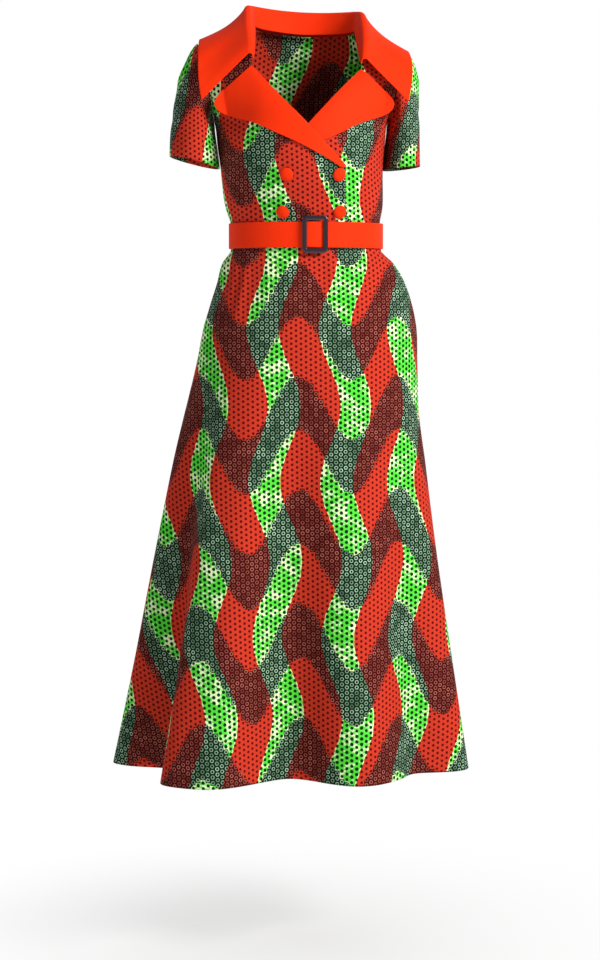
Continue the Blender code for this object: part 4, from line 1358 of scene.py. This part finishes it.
def make_buckle(around=20):
    """The frame, a rounded bar swept round a rounded rectangle, and the plain bar behind the strap."""
    side_width = (BUCKLE_SIZE[0] - BUCKLE_WINDOW[0]) / 2
    strap_front = -(BELT_FRONT_DEPTH + 2 * STRAP_WALL + BAR_ROOM)
    frame_y = strap_front - BUCKLE_REST - BUCKLE_THICKNESS / 2
    form = bmesh.new()
    rings = []
    middle_size = [side - side_width for side in BUCKLE_SIZE]
    for x, z, out_x, out_z in rounded_loop(*middle_size, BUCKLE_CORNER):
        ring = []
        for i in range(around):
            angle = 2 * pi * i / around
            reach = BUCKLE_CORNER + side_width / 2 * rounded(cos(angle), BUCKLE_ROUNDING["across"])
            depth = BUCKLE_THICKNESS / 2 * rounded(sin(angle), BUCKLE_ROUNDING["depth"])
            place = (BUCKLE_X + x + out_x * reach, frame_y - depth, BELT_Z + z + out_z * reach)
            ring.append(form.verts.new(place))
        rings.append(ring)
    for a, b in zip(rings, rings[1:] + rings[:1]):
        for i in range(around):
            j = (i + 1) % around
            form.faces.new((a[i], a[j], b[j], b[i]))
    bar_y = -(BELT_FRONT_DEPTH + STRAP_WALL + BAR_ROOM / 2)
    add_block(form, (BUCKLE_X, bar_y, BELT_Z), BAR_SIZE)
    foot_size = (BAR_SIZE[0], abs(frame_y - bar_y) + BAR_FOOT_SINKS, BAR_FOOT_HEIGHT)
    for end in (-1, 1):
        add_block(form, (BUCKLE_X, (frame_y + bar_y) / 2, BELT_Z + end * BAR_FOOT_Z), foot_size)
    mesh = mesh_of_form("buckle_frame", form)
    mesh.set_sharp_from_angle(angle=radians(50))
    add_piece("buckle_frame", mesh, PLASTIC, "buckle")


def button_points(seat, outwards, around=72):
    """Rings of points on a covered button, whose cloth is drawn in tiny tucks over its rim."""
    turn = outwards.to_track_quat("Z", "Y").to_matrix()
    points = np.zeros((len(BUTTON_OUTLINE), around, 3))
    for i, (radius, height) in enumerate(BUTTON_OUTLINE):
        tuck = BUTTON_TUCK_DEPTH * max(0.0, radius / BUTTON_RADIUS - BUTTON_TUCKS_FROM)
        for j in range(around):
            angle = 2 * pi * j / around
            wave = cos(angle * BUTTON_TUCKS + sin(angle * BUTTON_TUCK_UNEVENNESS))
            reach = radius - tuck * (1 + wave)
            local = Vector((reach * cos(angle), reach * sin(angle), height))
            points[i, j] = seat + outwards * BUTTON_REST + turn @ local
    return points


def button_mesh(points):
    """A closed mesh on a button's rings of points. Its flat places are those of the front view."""
    around = points.shape[1]
    form = bmesh.new()
    rings = [[form.verts.new(p) for p in ring] for ring in points[1:-1]]
    top = form.verts.new(points[0, 0])
    bottom = form.verts.new(points[-1, 0])
    for i in range(around):
        j = (i + 1) % around
        for a, b in zip(rings, rings[1:]):
            form.faces.new((a[i], b[i], b[j], a[j]))
        form.faces.new((top, rings[0][i], rings[0][j]))
        form.faces.new((bottom, rings[-1][j], rings[-1][i]))
    layer = form.loops.layers.uv.new("cut")
    for face in form.faces:
        for loop in face.loops:
            loop[layer].uv = (loop.vert.co.x, loop.vert.co.z)
    return mesh_of_form("button", form)


def make_buttons(fronts):
    """The four covered buttons, seated on the right front."""
    cloth = grid_tree(fronts["right"])
    for level, (half_spacing, z) in BUTTON_PLACES.items():
        for side, sign in (("right", -1), ("left", 1)):
            seat, outwards = seat_on(cloth, sign * half_spacing, z)
            name = "button_%s_%s" % (level, side)
            mesh = button_mesh(button_points(seat, outwards))
            add_piece("covered_" + name, mesh, PLAIN, name)


# Room
def make_floor():
    """A wide pale floor with a painted white glow mixed in: a third of it under the dress, where it softens
    the real shadow, and all of it far out, where the floor is as white as the surround.
    """
    corners = [(x * FLOOR_REACH, y * FLOOR_REACH, FLOOR_Z) for x, y in ((-1, -1), (1, -1), (1, 1), (-1, 1))]
    floor = new_object("floor", new_mesh("floor", corners, [(0, 1, 2, 3)]))
    look, tree, shader = new_material("pale_floor_painted_glow", 0.9, 0.0, specular=0.1)
    place = tree.nodes.new("ShaderNodeTexCoord")
    colour = blend(tree, noise(tree, place.outputs["Object"], 3.0), (0.90, 0.90, 0.90), (0.93, 0.93, 0.93))
    tree.links.new(colour, shader.inputs["Base Color"])
    split = tree.nodes.new("ShaderNodeSeparateXYZ")
    tree.links.new(place.outputs["Object"], split.inputs["Vector"])
    x, y = Term(tree, split.outputs["X"]), Term(tree, split.outputs["Y"])
    # Painted glow: a white emission mixed over the floor's shading, growing outwards from under the dress and
    # softening the real shadow there
    far = (x * x + y * y).root().ramp(*FLOOR_PAINTED_GLOW_SPAN)
    glow = tree.nodes.new("ShaderNodeEmission")
    mix = tree.nodes.new("ShaderNodeMixShader")
    tree.links.new(far.socket, mix.inputs[0])
    tree.links.new(shader.outputs[0], mix.inputs[1])
    tree.links.new(glow.outputs[0], mix.inputs[2])
    output = tree.nodes["Material Output"]
    tree.links.new(mix.outputs[0], output.inputs["Surface"])
    floor.data.materials.append(look)


def aim_from(item, place, aim):
    """Put a lamp or the camera at a place, looking at a point."""
    item.location = place
    item.rotation_euler = (Vector(aim) - Vector(place)).to_track_quat("-Z", "Y").to_euler()


def make_light():
    """Soft studio light, its key from the viewer's right, and a pale surround."""
    world = bpy.data.worlds.new("surround")
    bpy.context.scene.world = world
    world.use_nodes = True
    tree = world.node_tree
    tree.nodes.clear()
    output = tree.nodes.new("ShaderNodeOutputWorld")
    path = tree.nodes.new("ShaderNodeLightPath")
    mix = tree.nodes.new("ShaderNodeMixShader")
    tree.links.new(path.outputs["Is Camera Ray"], mix.inputs[0])
    for slot_number, strength in ((1, SURROUND_LIGHT), (2, SURROUND_SEEN)):
        background = tree.nodes.new("ShaderNodeBackground")
        background.inputs["Color"].default_value = (1, 1, 1, 1)
        background.inputs["Strength"].default_value = strength
        tree.links.new(background.outputs[0], mix.inputs[slot_number])
    tree.links.new(mix.outputs[0], output.inputs["Surface"])
    for lamp in LAMPS:
        light = bpy.data.lights.new(lamp.name, "AREA")
        light.size = lamp.size
        light.energy = lamp.power
        aim_from(new_object(lamp.name, light), lamp.place, lamp.aim)
    bpy.context.scene.view_settings.view_transform = "Standard"


def make_camera():
    """The camera at the photograph's height and angle, framed for an image of 600 by 960; the image size is
    not set here.
    """
    camera = bpy.data.cameras.new("camera")
    camera.sensor_fit = "VERTICAL"
    camera.sensor_height = 36
    camera.lens = LENS_MM
    item = new_object("camera", camera)
    angle = radians(CAMERA_BEARING)
    aim_from(item, (CAMERA_DISTANCE * sin(angle), -CAMERA_DISTANCE * cos(angle), CAMERA_Z), AIM)
    bpy.context.scene.camera = item


front_grids = make_fronts()
make_back()
make_sleeves()
make_skirt()
make_collar()
make_lapels(front_grids)
make_belt()
make_buckle()
make_buttons(front_grids)
make_floor()
make_light()
make_camera()
